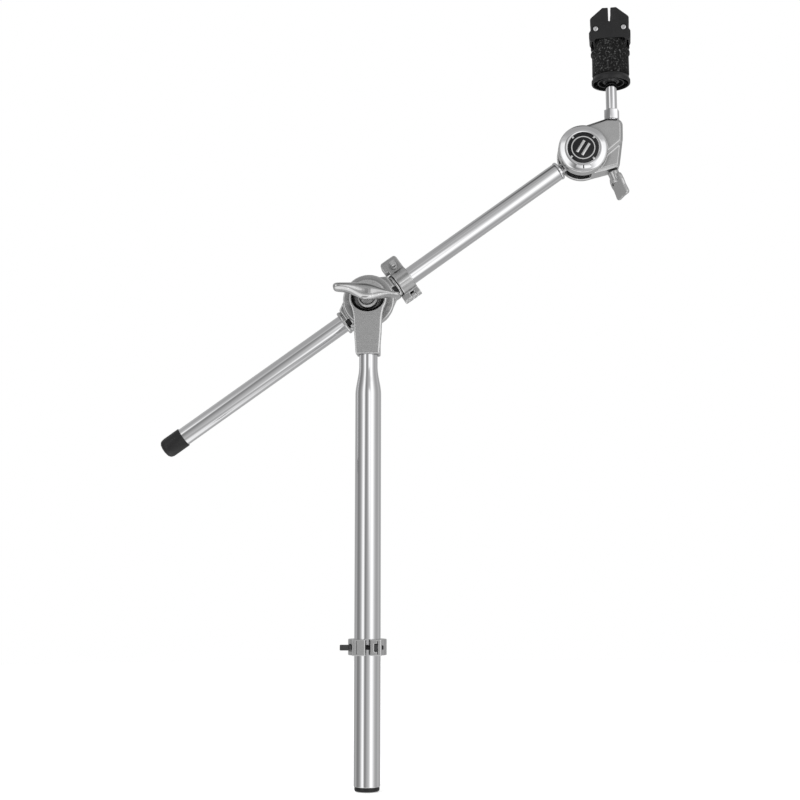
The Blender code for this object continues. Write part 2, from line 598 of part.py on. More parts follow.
def make_seat(stack):
    seat = [(5.3, SEAT_Z + 2.2), (7.4, SEAT_Z + 2.2), (7.4, SEAT_Z + 4.6), (10.8, SEAT_Z + 4.6)]
    seat += [(10.8, SEAT_Z + 1.0), (11.9, SEAT_Z + 1.0), (11.9, SEAT_Z + 4.6), (15.6, SEAT_Z + 4.6)]
    seat += [(15.6, SEAT_Z), (16.6, SEAT_Z), (17.2, SEAT_Z + 0.6), (17.2, SEAT_Z + 3.2), (16.2, SEAT_Z + 5.0)]
    seat += [(16.2, LOWER_FELT_Z - GAP), (6.5, LOWER_FELT_Z - GAP), (6.5, NUT_BODY_Z - 0.6), (5.3, NUT_BODY_Z - 0.6)]
    add("cymbal_sleeve", turned(seat, ring=True), black_plastic(), stack)

    top = UPPER_FELT_Z - GAP
    lower = [(7.0, LOWER_FELT_Z), (15.8, LOWER_FELT_Z), (16.5, LOWER_FELT_Z + 0.8), (16.4, top - 5.6)]
    lower += [(17.4, top - 3.8), (17.4, top - 1.4), (16.0, top), (7.0, top)]
    add("lower_felt", turned(lower, ROUND, ring=True), felt(), stack)


def make_quick_nut(nut):
    """Heights are above the ground; the levers' pins run along the nut's local Y."""
    upper = [(7.0, UPPER_FELT_Z), (13.8, UPPER_FELT_Z), (14.2, UPPER_FELT_Z + 0.6)]
    upper += [(14.2, NUT_BODY_Z - GAP - 0.4), (13.8, NUT_BODY_Z - GAP), (7.0, NUT_BODY_Z - GAP)]
    add("upper_felt", turned(upper, ROUND, ring=True), felt(), nut)

    base = filleted([(-14.8, -12.4), (14.8, -12.4), (14.8, 12.4), (-14.8, 12.4)], 2.0, 2)
    body = add("quick_nut_body", prism(base, NUT_BODY_Z, NUT_BODY_Z + 3.2), black_plastic(), nut)
    half_plate = [(11.6, NUT_BODY_Z + 0.6), (13.4, NUT_BODY_Z - 1.8), (16.6, NUT_BODY_Z - 1.8)]
    half_plate += [(17.4, NUT_BODY_Z - 0.6), (17.4, NUT_BODY_Z + 5.0), (16.3, NUT_BODY_Z + 9.0)]
    half_plate += [(16.3, NUT_PLATE_Z + 0.4), (14.8, NUT_PLATE_Z + 1.4)]
    plate = half_plate + [(0, NUT_PLATE_Z)] + [(-x, z) for x, z in reversed(half_plate)]
    for number, (low, high) in enumerate(((-12.39, -9.8), (9.8, 12.39))):
        join(body, f"nut_plate_{number}", prism(plate, low, high, "Y"))
    cut(body, "nut_bore", rod(5.4, NUT_BODY_Z - 5, NUT_BODY_Z + 20))

    for side, name in ((-1, "left"), (1, "right")):
        cut(body, f"nut_pin_hole_{name}", rod(2.75, -20, 20), (side * NUT_PIN_X, 0, NUT_PIN_Z), (90, 0, 0))
        pivot = empty(f"quick_nut_{name}_pivot", (side * NUT_PIN_X, 0, NUT_PIN_Z), parent=nut)
        step = [(1.0, 3.2), (1.0, 8.6), (0.5, 10.2), (0.9, 13.0), (0.9, 16.6), (1.1, 20.3)]
        if side < 0:
            step = [(1.0, 3.2), (1.0, 8.6), (1.4, 10.2), (1.0, 13.0), (1.0, 16.6), (1.1, 20.3)]
        outline = step + [(6.2, 20.5), (16.6, 11.6), (17.2, 10.2), (17.2, 5.4), (16.3, 1.6), (16.9, 0.0)]
        outline += [(18.4, -2.4), (18.4, -7.0), (17.2, -8.8), (16.0, -8.4), (16.0, -6.0), (14.6, -5.2)]
        outline += [(9.0, -5.2), (8.6, -0.6), (5.2, 3.2)]
        placed = [(side * (x - NUT_PIN_X), z) for x, z in outline]
        lever = add(f"quick_nut_{name}_lever", prism(placed, -9.5, 9.5, "Y"), black_plastic(), pivot)
        cut(lever, f"{name}_lever_pin_hole", rod(1.95, -12, 12), (0, 0, 0), (90, 0, 0))
        cut(lever, f"{name}_lever_pocket", rod(3.3, -4.2, 4.2), (0, 0, 0), (90, 0, 0))
        cut(lever, f"{name}_lever_thread", rod(THREAD_R + 0.3, -3.0, 11.6), (-side * NUT_PIN_X, 0, 0))
        pin = [(0, -12.2), (2.4, -12.2), (2.4, -9.9), (1.65, -9.6), (1.65, 9.6), (2.4, 9.9), (2.4, 12.2)]
        pin += [(2.0, 12.7), (0, 12.8)]
        add(f"quick_nut_{name}_pin", turned(pin, SMALL_ROUND), chrome(), pivot, rotation=(90, 0, 0))
        add(f"quick_nut_{name}_spring", coil(0.38, 2.5, -3.5, 3.5, 4), steel(), pivot, rotation=(90, 0, 0))


# ---------------------------------------------------------------- assembly

def main():
    clear_scene()
    base = empty("post_foot_centre", (0, 0, 0))
    make_post(base)
    make_bracket(base)
    make_post_lock(base)

    tilt = empty("tilt_axis", (0, 0, PIVOT_Z), (0, -BOOM_ELEVATION, 0))
    boom_axis = empty("boom_axis", (0, BOOM_Y, 0), parent=tilt)
    make_clamp(tilt)
    make_liner(boom_axis)
    make_boom(boom_axis)
    make_boom_lock(boom_axis)
    make_wing_nut(empty("wing_nut_axis", (0, 0, PIVOT_Z)))

    lift = math.radians(BOOM_ELEVATION)
    head_at = (HEAD_REACH * math.cos(lift), 0, PIVOT_Z + HEAD_REACH * math.sin(lift))
    head = empty("head_axis", head_at)
    housing = make_head(head)
    make_wing_bolt(head, housing)
    stack = empty("rod_axis", (ROD_X, BOOM_Y, 0))
    make_rod(stack)
    make_seat(stack)
    make_quick_nut(empty("quick_nut_axis", (ROD_X, BOOM_Y, 0), (0, 0, NUT_TURN)))


main()
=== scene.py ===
"""Cymbal boom stand: the visible pieces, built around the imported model. Lengths are in millimetres
until MM scales them; the post stands on the origin and the boom reaches towards +X."""
import json
import math

import bpy
from mathutils import Euler, Matrix, Vector


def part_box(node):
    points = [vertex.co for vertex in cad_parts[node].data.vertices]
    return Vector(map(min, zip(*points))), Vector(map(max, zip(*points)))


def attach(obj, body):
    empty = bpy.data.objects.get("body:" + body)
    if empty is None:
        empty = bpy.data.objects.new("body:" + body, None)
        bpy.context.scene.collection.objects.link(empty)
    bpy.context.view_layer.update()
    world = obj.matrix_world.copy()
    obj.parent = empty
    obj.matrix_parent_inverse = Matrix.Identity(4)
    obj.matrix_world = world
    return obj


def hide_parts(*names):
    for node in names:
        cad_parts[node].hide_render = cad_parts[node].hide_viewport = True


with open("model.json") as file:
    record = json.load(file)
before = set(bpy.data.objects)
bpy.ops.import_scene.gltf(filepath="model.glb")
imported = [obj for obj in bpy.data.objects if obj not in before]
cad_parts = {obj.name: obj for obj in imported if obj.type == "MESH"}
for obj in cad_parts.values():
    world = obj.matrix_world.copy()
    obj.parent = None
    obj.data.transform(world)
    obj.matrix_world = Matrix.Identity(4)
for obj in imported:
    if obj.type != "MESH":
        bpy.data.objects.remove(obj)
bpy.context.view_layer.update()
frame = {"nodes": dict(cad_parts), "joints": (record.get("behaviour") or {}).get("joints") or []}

# ---------------------------------------------------------------- camera, light and floor
# The camera looks slightly up at the stand from low in front of it. The light is one soft studio: white
# panels to the left and right of the camera with darker gaps, a soft key light, a round bounce card that
# shows only in reflections, and a pale floor.
MM = 0.001
studio = bpy.context.scene
studio.view_settings.view_transform = "Standard"

CAMERA_AT = (0.1001, -1.1239, 0.1582)      # metres
CAMERA_TURN = (98.5, 0.0, 3.7)             # degrees
bpy.ops.object.camera_add(location=CAMERA_AT, rotation=[math.radians(a) for a in CAMERA_TURN])
camera = bpy.context.object
camera.data.sensor_width = 36.0
camera.data.lens = 59.49
camera.data.clip_start = 0.01
studio.camera = camera


def grey(value):
    return (value, value, value, 1.0)


def shades(tree, source, stops, label):
    """A colour ramp of greys: stops are (position, brightness)."""
    ramp = tree.nodes.new("ShaderNodeValToRGB")
    ramp.label = label
    ramp.color_ramp.elements[0].position = stops[0][0]
    ramp.color_ramp.elements[0].color = grey(stops[0][1])
    ramp.color_ramp.elements[1].position = stops[-1][0]
    ramp.color_ramp.elements[1].color = grey(stops[-1][1])
    for position, value in stops[1:-1]:
        ramp.color_ramp.elements.new(position).color = grey(value)
    tree.links.new(source, ramp.inputs["Fac"])
    return ramp.outputs["Color"]


world = bpy.data.worlds.new("studio")
studio.world = world
world.use_nodes = True
sky = world.node_tree
sky.nodes.clear()
facing = sky.nodes.new("ShaderNodeTexCoord").outputs["Generated"]
parts = sky.nodes.new("ShaderNodeSeparateXYZ")
sky.links.new(facing, parts.inputs[0])
around = sky.nodes.new("ShaderNodeTexGradient")
around.gradient_type = "RADIAL"
sky.links.new(facing, around.inputs["Vector"])
CAMERA_BEARING = -85.0
panels = []
for bearing, value in (      # degrees to the right of the camera's own direction, and brightness
        (-140, 0.46), (-128, 0.38), (-114, 0.5), (-98, 0.27), (-88, 0.24), (-75, 0.30), (-62, 0.45),
        (-51, 0.85), (-43, 1.25), (-34, 1.15), (-27, 0.50), (-21, 0.24), (-13, 0.31), (-4, 0.44),
        (6, 0.54), (14, 0.60), (20, 0.82), (27, 1.20), (35, 1.35), (43, 1.25), (50, 1.0), (58, 0.74),
        (66, 0.55), (80, 0.42), (98, 0.44), (110, 0.58), (122, 0.45), (130, 0.40), (150, 0.50)):
    turn = (CAMERA_BEARING + bearing + 180.0) % 360.0
    panels.append((turn / 360.0, value))
panels.sort()
level = shades(sky, around.outputs["Fac"], panels, "panels round the stand")
height = sky.nodes.new("ShaderNodeMath")
height.operation = "MULTIPLY_ADD"
height.inputs[1].default_value = 0.5
height.inputs[2].default_value = 0.5
sky.links.new(parts.outputs["Z"], height.inputs[0])
rows = [      # height, from -1 straight down to 1 straight up, and brightness
    (-1.0, 1.2), (-0.86, 1.1), (-0.72, 0.5), (-0.6, 0.42), (-0.5, 0.45), (-0.38, 0.6), (-0.25, 0.75),
    (-0.1, 0.8), (0.2, 0.6), (0.3, 0.55), (0.4, 0.39), (0.5, 0.4), (0.63, 0.6), (0.75, 0.44),
    (0.93, 0.42), (0.975, 0.14), (1.0, 0.08)]
slope = shades(sky, height.outputs[0], [(0.5 + 0.5 * z, value) for z, value in rows], "floor to ceiling")
PANEL_BAND = [(0.19, 1.0), (0.26, 0.0), (0.74, 0.0), (0.8, 1.0)]      # 0 where the panels stand
band = shades(sky, height.outputs[0], PANEL_BAND, "panel height")
mixed = sky.nodes.new("ShaderNodeMix")
mixed.data_type = "RGBA"
sky.links.new(band, mixed.inputs["Factor"])
sky.links.new(level, mixed.inputs["A"])
sky.links.new(slope, mixed.inputs["B"])
lit = sky.nodes.new("ShaderNodeBackground")
sky.links.new(mixed.outputs["Result"], lit.inputs["Color"])
plain = sky.nodes.new("ShaderNodeBackground")
plain.inputs["Color"].default_value = grey(1.0)
ray = sky.nodes.new("ShaderNodeLightPath")
either = sky.nodes.new("ShaderNodeMixShader")
sky.links.new(ray.outputs["Is Camera Ray"], either.inputs["Fac"])
sky.links.new(lit.outputs[0], either.inputs[1])
sky.links.new(plain.outputs[0], either.inputs[2])
sky.links.new(either.outputs[0], sky.nodes.new("ShaderNodeOutputWorld").inputs["Surface"])

bpy.ops.object.light_add(type="AREA", location=(-0.7, -1.3, 1.5),
                         rotation=(math.radians(50), 0, math.radians(-28)))
key = bpy.context.object
key.data.shape = "DISK"
key.data.size = 0.7
key.data.energy = 22.0
key.visible_glossy = False

bpy.ops.object.select_all(action="DESELECT")
BELOW_FOOT = -0.0006
bpy.ops.mesh.primitive_circle_add(vertices=96, radius=2.2, fill_type="NGON", location=(0.1, 0.1, BELOW_FOOT))
floor = bpy.context.object
floor.name = "floor"
paper = bpy.data.materials.new("pale_paper")
paper.use_nodes = True
paper_shader = paper.node_tree.nodes["Principled BSDF"]
paper_shader.inputs["Base Color"].default_value = grey(0.86)
paper_shader.inputs["Roughness"].default_value = 0.9
paper_shader.inputs["Emission Color"].default_value = grey(1.0)
paper_shader.inputs["Emission Strength"].default_value = 0.64
floor.data.materials.append(paper)
floor.visible_glossy = False

bpy.ops.object.select_all(action="DESELECT")
CARD_AT = (0.40, -1.2, 0.52)      # beside the camera, level with the boom
bpy.ops.mesh.primitive_plane_add(size=2.0, location=CARD_AT, rotation=(math.radians(90), 0, 0))
card = bpy.context.object
card.name = "bounce_card"
card.rotation_euler.rotate_axis("Z", math.radians(35))
glow = bpy.data.materials.new("lit_card")
glow.use_nodes = True
lamp = glow.node_tree
lamp.nodes.clear()
fitted = lamp.nodes.new("ShaderNodeMapping")
fitted.inputs["Scale"].default_value = (2.7, 2.1, 1.0)
lamp.links.new(lamp.nodes.new("ShaderNodeTexCoord").outputs["Object"], fitted.inputs["Vector"])
round_glow = lamp.nodes.new("ShaderNodeTexGradient")
round_glow.gradient_type = "SPHERICAL"
lamp.links.new(fitted.outputs[0], round_glow.inputs["Vector"])
GLOW_EDGE = [(0.0, 0.0), (0.25, 0.16), (0.6, 0.8), (0.85, 1.0), (1.0, 1.0)]
soft_glow = shades(lamp, round_glow.outputs["Fac"], GLOW_EDGE, "soft edge")
shine = lamp.nodes.new("ShaderNodeEmission")
shine.inputs["Strength"].default_value = 1.25
see_through = lamp.nodes.new("ShaderNodeBsdfTransparent")
blend = lamp.nodes.new("ShaderNodeMixShader")
lamp.links.new(soft_glow, blend.inputs["Fac"])
lamp.links.new(see_through.outputs[0], blend.inputs[1])
lamp.links.new(shine.outputs[0], blend.inputs[2])
lamp.links.new(blend.outputs[0], lamp.nodes.new("ShaderNodeOutputMaterial").inputs["Surface"])
card.data.materials.append(glow)
card.visible_camera = card.visible_diffuse = card.visible_shadow = False

# ---------------------------------------------------------------- post
# The post is a 22.2 mm steel tube, swaged down to a neck for the tilter and chrome plated. A moulded
# plug closes its foot. Both are turned shapes, so each is a line drawn once and spun about the axis.
def arc(radius, start, end, steps, centre=(0.0, 0.0)):
    points = []
    for step in range(steps + 1):
        angle = math.radians(start + (end - start) * step / steps)
        points.append((centre[0] + radius * math.cos(angle), centre[1] + radius * math.sin(angle)))
    return points


def place_at(x=0.0, y=0.0, z=0.0, turn=(0.0, 0.0, 0.0)):
    """Millimetres, and degrees about X, Y and Z."""
    angles = Euler([math.radians(a) for a in turn])
    return Matrix.Translation((x * MM, y * MM, z * MM)) @ angles.to_matrix().to_4x4()


HERE = Matrix.Identity(4)


def alone(piece):
    bpy.ops.object.select_all(action="DESELECT")
    piece.select_set(True)
    bpy.context.view_layer.objects.active = piece


def settled(piece, place):
    """Move a piece to its place and keep that place in its mesh."""
    alone(piece)
    piece.matrix_basis = place @ piece.matrix_basis
    bpy.ops.object.transform_apply(location=True, rotation=True, scale=True)
    return piece


def drawn(name, points):
    """Draw a chain of points by extruding one vertex. Edit mode stays on, with all of it selected."""
    bpy.ops.object.select_all(action="DESELECT")
    bpy.ops.mesh.primitive_plane_add(size=MM)
    piece = bpy.context.object
    piece.name = piece.data.name = name
    bpy.ops.object.mode_set(mode="EDIT")
    bpy.ops.mesh.merge(type="CENTER")
    bpy.ops.transform.translate(value=[c * MM for c in points[0]])
    for here, after in zip(points, points[1:]):
        step = [(b - a) * MM for a, b in zip(here, after)]
        bpy.ops.mesh.extrude_region_move(TRANSFORM_OT_translate={"value": step})
    bpy.ops.mesh.select_all(action="SELECT")
    return piece


def spun(name, profile, place=HERE, sides=96):
    """Spin (radius, height) points about Z."""
    piece = drawn(name, [(r, 0.0, z) for r, z in profile])
    bpy.ops.mesh.spin(steps=sides, angle=2 * math.pi, center=(0, 0, 0), axis=(0, 0, 1))
    bpy.ops.mesh.select_all(action="SELECT")
    bpy.ops.mesh.remove_doubles(threshold=0.000004)
    bpy.ops.mesh.normals_make_consistent(inside=False)
    bpy.ops.object.mode_set(mode="OBJECT")
    return settled(piece, place)


def finish(piece, body, slot, material, *nodes, sharp=32.0):
    """Smooth a piece up to the sharp angle, or all over for 0, give it its material, hide the nodes it
    replaces and hang it on its body.
    """
    alone(piece)
    if sharp:
        bpy.ops.object.shade_smooth_by_angle(angle=math.radians(sharp))
    else:
        bpy.ops.object.shade_smooth()
    piece.data.materials.clear()
    piece.data.materials.append(material)
    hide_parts(*nodes)
    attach(piece, body)
    return piece


def new_material(name, colour, metallic, roughness):
    """An empty finish: the tree, its shader, and a texture vector in object space."""
    made = bpy.data.materials.new(name)
    made.use_nodes = True
    tree = made.node_tree
    shader = tree.nodes["Principled BSDF"]
    shader.inputs["Base Color"].default_value = (*colour, 1.0)
    shader.inputs["Metallic"].default_value = metallic
    shader.inputs["Roughness"].default_value = roughness
    return made, tree, shader, tree.nodes.new("ShaderNodeTexCoord").outputs["Object"]


def grain(tree, vector, scale, detail=2.0, stretch=(1.0, 1.0, 1.0)):
    """Noise over the surface, scale in cells per metre."""
    spread = tree.nodes.new("ShaderNodeMapping")
    spread.inputs["Scale"].default_value = stretch
    tree.links.new(vector, spread.inputs["Vector"])
    noise = tree.nodes.new("ShaderNodeTexNoise")
    noise.inputs["Scale"].default_value = scale
    noise.inputs["Detail"].default_value = detail
    tree.links.new(spread.outputs[0], noise.inputs["Vector"])
    return noise.outputs["Fac"]


def vary_roughness(tree, shader, source, low, high):
    ranged = tree.nodes.new("ShaderNodeMapRange")
    ranged.inputs["From Min"].default_value = 0.3
    ranged.inputs["From Max"].default_value = 0.7
    ranged.inputs["To Min"].default_value = low
    ranged.inputs["To Max"].default_value = high
    tree.links.new(source, ranged.inputs["Value"])
    tree.links.new(ranged.outputs["Result"], shader.inputs["Roughness"])


def add_bump(tree, shader, source, depth_mm):
    bump = tree.nodes.new("ShaderNodeBump")
    bump.inputs["Strength"].default_value = 1.0
    bump.inputs["Distance"].default_value = depth_mm * MM
    tree.links.new(source, bump.inputs["Height"])
    tree.links.new(bump.outputs["Normal"], shader.inputs["Normal"])


chrome, tree, shader, vector = new_material("chrome_plate", (0.80, 0.80, 0.81), 1.0, 0.05)
vary_roughness(tree, shader, grain(tree, vector, 55.0, 4.0), 0.035, 0.075)      # smears
add_bump(tree, shader, grain(tree, vector, 26.0, 1.0), 0.02)

moulded, tree, shader, vector = new_material("moulded_black", (0.007, 0.007, 0.0075), 0.0, 0.42)
vary_roughness(tree, shader, grain(tree, vector, 240.0, 3.0), 0.34, 0.5)
add_bump(tree, shader, grain(tree, vector, 2600.0, 2.0), 0.015)

POST_R, POST_BORE = 11.1, 9.6
NECKING = 3.15                              # how far the swage draws the tube's radius in
NECK_R, NECK_BORE = 7.95, 6.45
SWAGE_Z, SWAGE_LONG, NECK_TOP = 331.0, 25.0, 382.0
swage = [(POST_R - NECKING * (t * t * (3 - 2 * t)), SWAGE_Z + SWAGE_LONG * t)
         for t in [step / 14 for step in range(15)]]
tube_line = [(10.0, 3.9), (10.8, 3.9), (POST_R, 4.2), *swage, (NECK_R, NECK_TOP), (NECK_BORE, NECK_TOP),
             (NECK_BORE, SWAGE_Z + SWAGE_LONG), (POST_BORE, SWAGE_Z), (POST_BORE, 3.9), (10.0, 3.9)]
finish(spun("post_shell", tube_line, sides=128), "post", "chrome", chrome, "post_tube")

plug_line = [(0, 0.25), (3.6, 0.25), (3.9, 0.0), (8.9, 0.0), (9.6, 0.15), (10.2, 0.6), (10.5, 1.3),
             (10.5, 3.1), (10.3, 3.6), (9.3, 3.6), (9.3, 17.0), (8.3, 19.0), (6.5, 19.0), (6.5, 8.0),
             (0, 8.0)]
finish(spun("foot_plug_moulding", plug_line), "post", "black_plastic", moulded, "post_foot_plug")

# ---------------------------------------------------------------- tilter bracket
# A die-cast zinc bracket, satin plated. Its socket is pressed over the post's neck and held by a
# roll pin; the round head behind the wing nut is recessed round a boss for the clamp's bolt.
def cushion(wide, deep, radius):
    """A rectangle about the origin with round corners."""
    x, y = wide / 2 - radius, deep / 2 - radius
    return (arc(radius, 180, 270, 6, (-x, -y)) + arc(radius, 270, 360, 6, (x, -y))
            + arc(radius, 0, 90, 6, (x, y)) + arc(radius, 90, 180, 6, (-x, y)))


def slab(name, outline, low, high, place=HERE, edge=0.0, steps=3, lip=None):
    """Draw an outline in XY, fill it, raise it from low to high and round the rims of both faces.
    A lip is the width and fall of a chamfer round the upper face."""
    piece = drawn(name, [(x, y, low) for x, y in outline])
    bpy.ops.mesh.edge_face_add()
    fall = lip[1] if lip else 0.0
    bpy.ops.mesh.extrude_region_move(TRANSFORM_OT_translate={"value": (0, 0, (high - low - fall) * MM)})
    if lip:
        bpy.ops.mesh.inset(thickness=lip[0] * MM, depth=0.0)
        bpy.ops.transform.translate(value=(0, 0, fall * MM))
    bpy.ops.mesh.select_all(action="SELECT")
    bpy.ops.mesh.normals_make_consistent(inside=False)
    bpy.ops.object.mode_set(mode="OBJECT")
    if edge:
        rounded(piece, edge, steps, 62)
    return settled(piece, place)


def applied(piece, kind, **settings):
    alone(piece)
    modifier = piece.modifiers.new(kind.lower(), kind)
    for key, value in settings.items():
        setattr(modifier, key, value)
    bpy.ops.object.modifier_apply(modifier=modifier.name)
    return piece


def rounded(piece, width, steps=3, above=40):
    return applied(piece, "BEVEL", width=width * MM, segments=steps, limit_method="ANGLE",
                   angle_limit=math.radians(above))


def combined(piece, other, how):
    """Join or cut with another closed shape, which is used up."""
    applied(piece, "BOOLEAN", operation=how, solver="MANIFOLD", object=other)
    bpy.data.objects.remove(other)
    return piece


def welded(piece, *others):
    for other in others:
        combined(piece, other, "UNION")
    return piece


def carved(piece, *others):
    for other in others:
        combined(piece, other, "DIFFERENCE")
    return piece


def rod(radius, low, high, place=HERE, edge=0.0, sides=64):
    """A round bar along Z, its rims eased by the edge."""
    line = [(0, low), (radius, low), (radius, high), (0, high)]
    if edge:
        line = [(0, low), (radius - edge, low), (radius - 0.3 * edge, low + 0.3 * edge), (radius, low + edge),
                (radius, high - edge), (radius - 0.3 * edge, high - 0.3 * edge), (radius - edge, high),
                (0, high)]
    return spun("rod", line, place, sides)


def cast_skin(piece, grain_mm, rounds):
    """One even skin over the joined shapes, eased so that inner corners are filleted as cast ones are."""
    applied(piece, "REMESH", mode="VOXEL", voxel_size=grain_mm * MM)
    return applied(piece, "SMOOTH", factor=0.5, iterations=rounds)


def painted_shade_and_edge_highlight(tree, shader, bright, painted_shade_level, edge, reach_mm=7.0):
    """Painted shade and highlight on plating: ambient occlusion darkens the colour in recesses and gaps as
    painted shade, and pointiness lightens it to the edge colour on sharp edges as painted highlight; open
    faces keep the plain colour.
    """
    # Painted shade: the colour falls from the plain tone to the shade level where ambient occlusion finds
    # recesses and gaps.
    shade = tree.nodes.new("ShaderNodeAmbientOcclusion")
    shade.samples = 8
    shade.inputs["Distance"].default_value = reach_mm * MM
    painted_recess_shade = shades(tree, shade.outputs["AO"], [(0.0, painted_shade_level), (0.45, painted_shade_level * 1.6), (0.85, bright), (1.0, bright)],
                  "recesses")
    # Painted highlight: sharp edges found by pointiness are lightened to the edge colour.
    painted_edge_highlight = shades(tree, tree.nodes.new("ShaderNodeNewGeometry").outputs["Pointiness"],
                  [(0.0, 0.0), (0.515, 0.0), (0.56, 1.0), (1.0, 1.0)], "edges")
    both = tree.nodes.new("ShaderNodeMix")
    both.data_type = "RGBA"
    tree.links.new(painted_edge_highlight, both.inputs["Factor"])
    tree.links.new(painted_recess_shade, both.inputs["A"])
    both.inputs["B"].default_value = grey(edge)
    tree.links.new(both.outputs["Result"], shader.inputs["Base Color"])


brushed, tree, shader, vector = new_material("brushed_zinc", (0.7, 0.7, 0.71), 1.0, 0.3)
# Painted shade darkens this plating in recesses and gaps, and a painted highlight lightens its sharp edges.
painted_shade_and_edge_highlight(tree, shader, 0.7, 0.08, 0.95)
strokes = grain(tree, vector, 4200.0, 1.0, (0.05, 1.0, 1.0))
vary_roughness(tree, shader, strokes, 0.22, 0.36)
add_bump(tree, shader, strokes, 0.0008)

steel, tree, shader, vector = new_material("plated_steel", (0.56, 0.56, 0.57), 1.0, 0.22)
# Painted shade darkens this steel in recesses and gaps within 4 mm, and a painted highlight lightens its
# sharp edges.
painted_shade_and_edge_highlight(tree, shader, 0.56, 0.1, 0.8, 4.0)
vary_roughness(tree, shader, grain(tree, vector, 300.0, 3.0), 0.16, 0.32)

dark_nylon, tree, shader, vector = new_material("black_nylon", (0.02, 0.02, 0.021), 0.0, 0.5)
vary_roughness(tree, shader, grain(tree, vector, 500.0, 2.0), 0.4, 0.6)

joints = {joint["name"]: joint for joint in frame["joints"]}
PIVOT_Z = joints["boom_tilt"]["pos_m"][2] / MM
FACING = place_at(turn=(90, 0, 0))                       # drawn in XY, it ends up facing the front
PIVOT = place_at(0, 0, PIVOT_Z, (90, 0, 0))              # Z to the front, along the clamp's bolt
ACROSS_PIN = place_at(0, 0, 375, (0, 90, 0))             # Z along the roll pin, through socket and neck
BRACKET_R, SOCKET_Z, SOCKET_TOP = 16.3, 366.0, 384.2
shank = [(10.3, SOCKET_Z), (10.9, 375.0), (11.6, 384.0), (12.0, 394.0), (12.5, 399.5), (13.3, 403.6),
         (14.1, 406.65)]
outline = shank + arc(BRACKET_R, -30, 210, 72, (0, PIVOT_Z)) + [(-x, z) for x, z in reversed(shank)]
bracket = slab("tilter_bracket_casting", outline, 2.6, 10.6, FACING, lip=(1.1, 0.45))
welded(bracket, slab("socket", cushion(20.4, 17.2, 3.6), SOCKET_Z, SOCKET_TOP, place_at(0, 0.6), 0.8))
bowl = [(0, 6.4), (10.4, 6.4), (11.4, 7.0), (12.4, 8.4), (13.2, 10.8), (13.2, 13.0), (0, 13.0)]
carved(bracket, spun("recess", bowl, PIVOT @ Matrix.Diagonal((1.1, 0.92, 1, 1))))
welded(bracket, rod(9.2, 5.4, 12.4, PIVOT, 2.0))
washer_seat, bolt_hole = rod(13.6, 1.6, 3.8, PIVOT), rod(4.4, -5, 20, PIVOT)
neck_hole, pin_hole = rod(8.25, 360, 382.3), rod(1.8, -15, 15, ACROSS_PIN, sides=32)
carved(bracket, washer_seat, bolt_hole, neck_hole, pin_hole)
cast_skin(bracket, 0.34, 3)
finish(bracket, "post", "plated_casting", brushed, "tilter_bracket", sharp=0)

pin_line = [(0.7, -9.9), (1.3, -9.9), (1.5, -9.6), (1.5, 9.6), (1.3, 9.9), (0.7, 9.9), (0.7, -9.9)]
finish(spun("bracket_pin", pin_line, ACROSS_PIN, 32), "post", "steel", steel, "bracket_roll_pin")
washer_line = [(4.4, -2.9), (12.9, -2.9), (13.2, -2.6), (13.2, -2.0), (12.9, -1.7), (4.4, -1.7), (4.4, -2.9)]
finish(spun("friction_ring", washer_line, place_at(0, 0, PIVOT_Z, (-90, 0, 0))), "post", "nylon", dark_nylon,
       "friction_washer")

# ---------------------------------------------------------------- boom clamp
# The casting that turns with the boom: a friction disc in front, and behind it a barrel for the
# tube, open in the middle for the eye of the bolt that pulls tube and disc tight.
plated, tree, shader, vector = new_material("plated_zinc", (0.62, 0.62, 0.63), 1.0, 0.22)
# Painted shade darkens this plating in recesses and gaps, and a painted highlight lightens its sharp edges.
painted_shade_and_edge_highlight(tree, shader, 0.62, 0.14, 0.95)
vary_roughness(tree, shader, grain(tree, vector, 130.0, 4.0), 0.18, 0.27)
add_bump(tree, shader, grain(tree, vector, 500.0, 2.0), 0.004)

AXIS = Vector(joints["boom_roll"]["axis"])
BOOM_Y = joints["boom_roll"]["pos_m"][1] / MM
ELEVATION = math.degrees(math.atan2(AXIS.z, AXIS.x))
TILTED = place_at(0, 0, PIVOT_Z, (0, -ELEVATION, 0))                  # X along the boom
LEVEL_DISC = place_at(turn=(90, 0, 0))                                # Z to the front
LEVEL_BARREL = place_at(0, BOOM_Y, 0, (0, 90, 0))                     # Z along the boom
BARREL = TILTED @ LEVEL_BARREL

BARREL_BORE = 9.45
disc_line = [(0, -5.5), (21.8, -5.5), (22.4, -4.9), (22.4, 1.2), (22.2, 1.7), (21.7, 2.0), (0, 2.0)]
clamp = spun("boom_clamp_casting", disc_line, LEVEL_DISC, 128)
web = arc(20.9, 55, 125, 24) + [(-25.8, 9.0), (-25.8, -9.0)]
web += arc(20.9, 235, 305, 24) + [(25.8, -9.0), (25.8, 9.0)]
barrel_line = [(0, -29.5), (9.9, -29.5), (10.6, -29.2), (10.8, -28.6), (10.8, -27.0), (10.2, -26.6),
               (10.2, -26.0), (10.8, -25.6)]
barrel_line += [(r, -z) for r, z in reversed(barrel_line)]
welded(clamp, slab("web", web, -14.0, -4.0, LEVEL_DISC, 0.8), spun("barrel", barrel_line, LEVEL_BARREL),
       rod(13.7, -8.8, 8.8, LEVEL_BARREL, 1.2, 96))

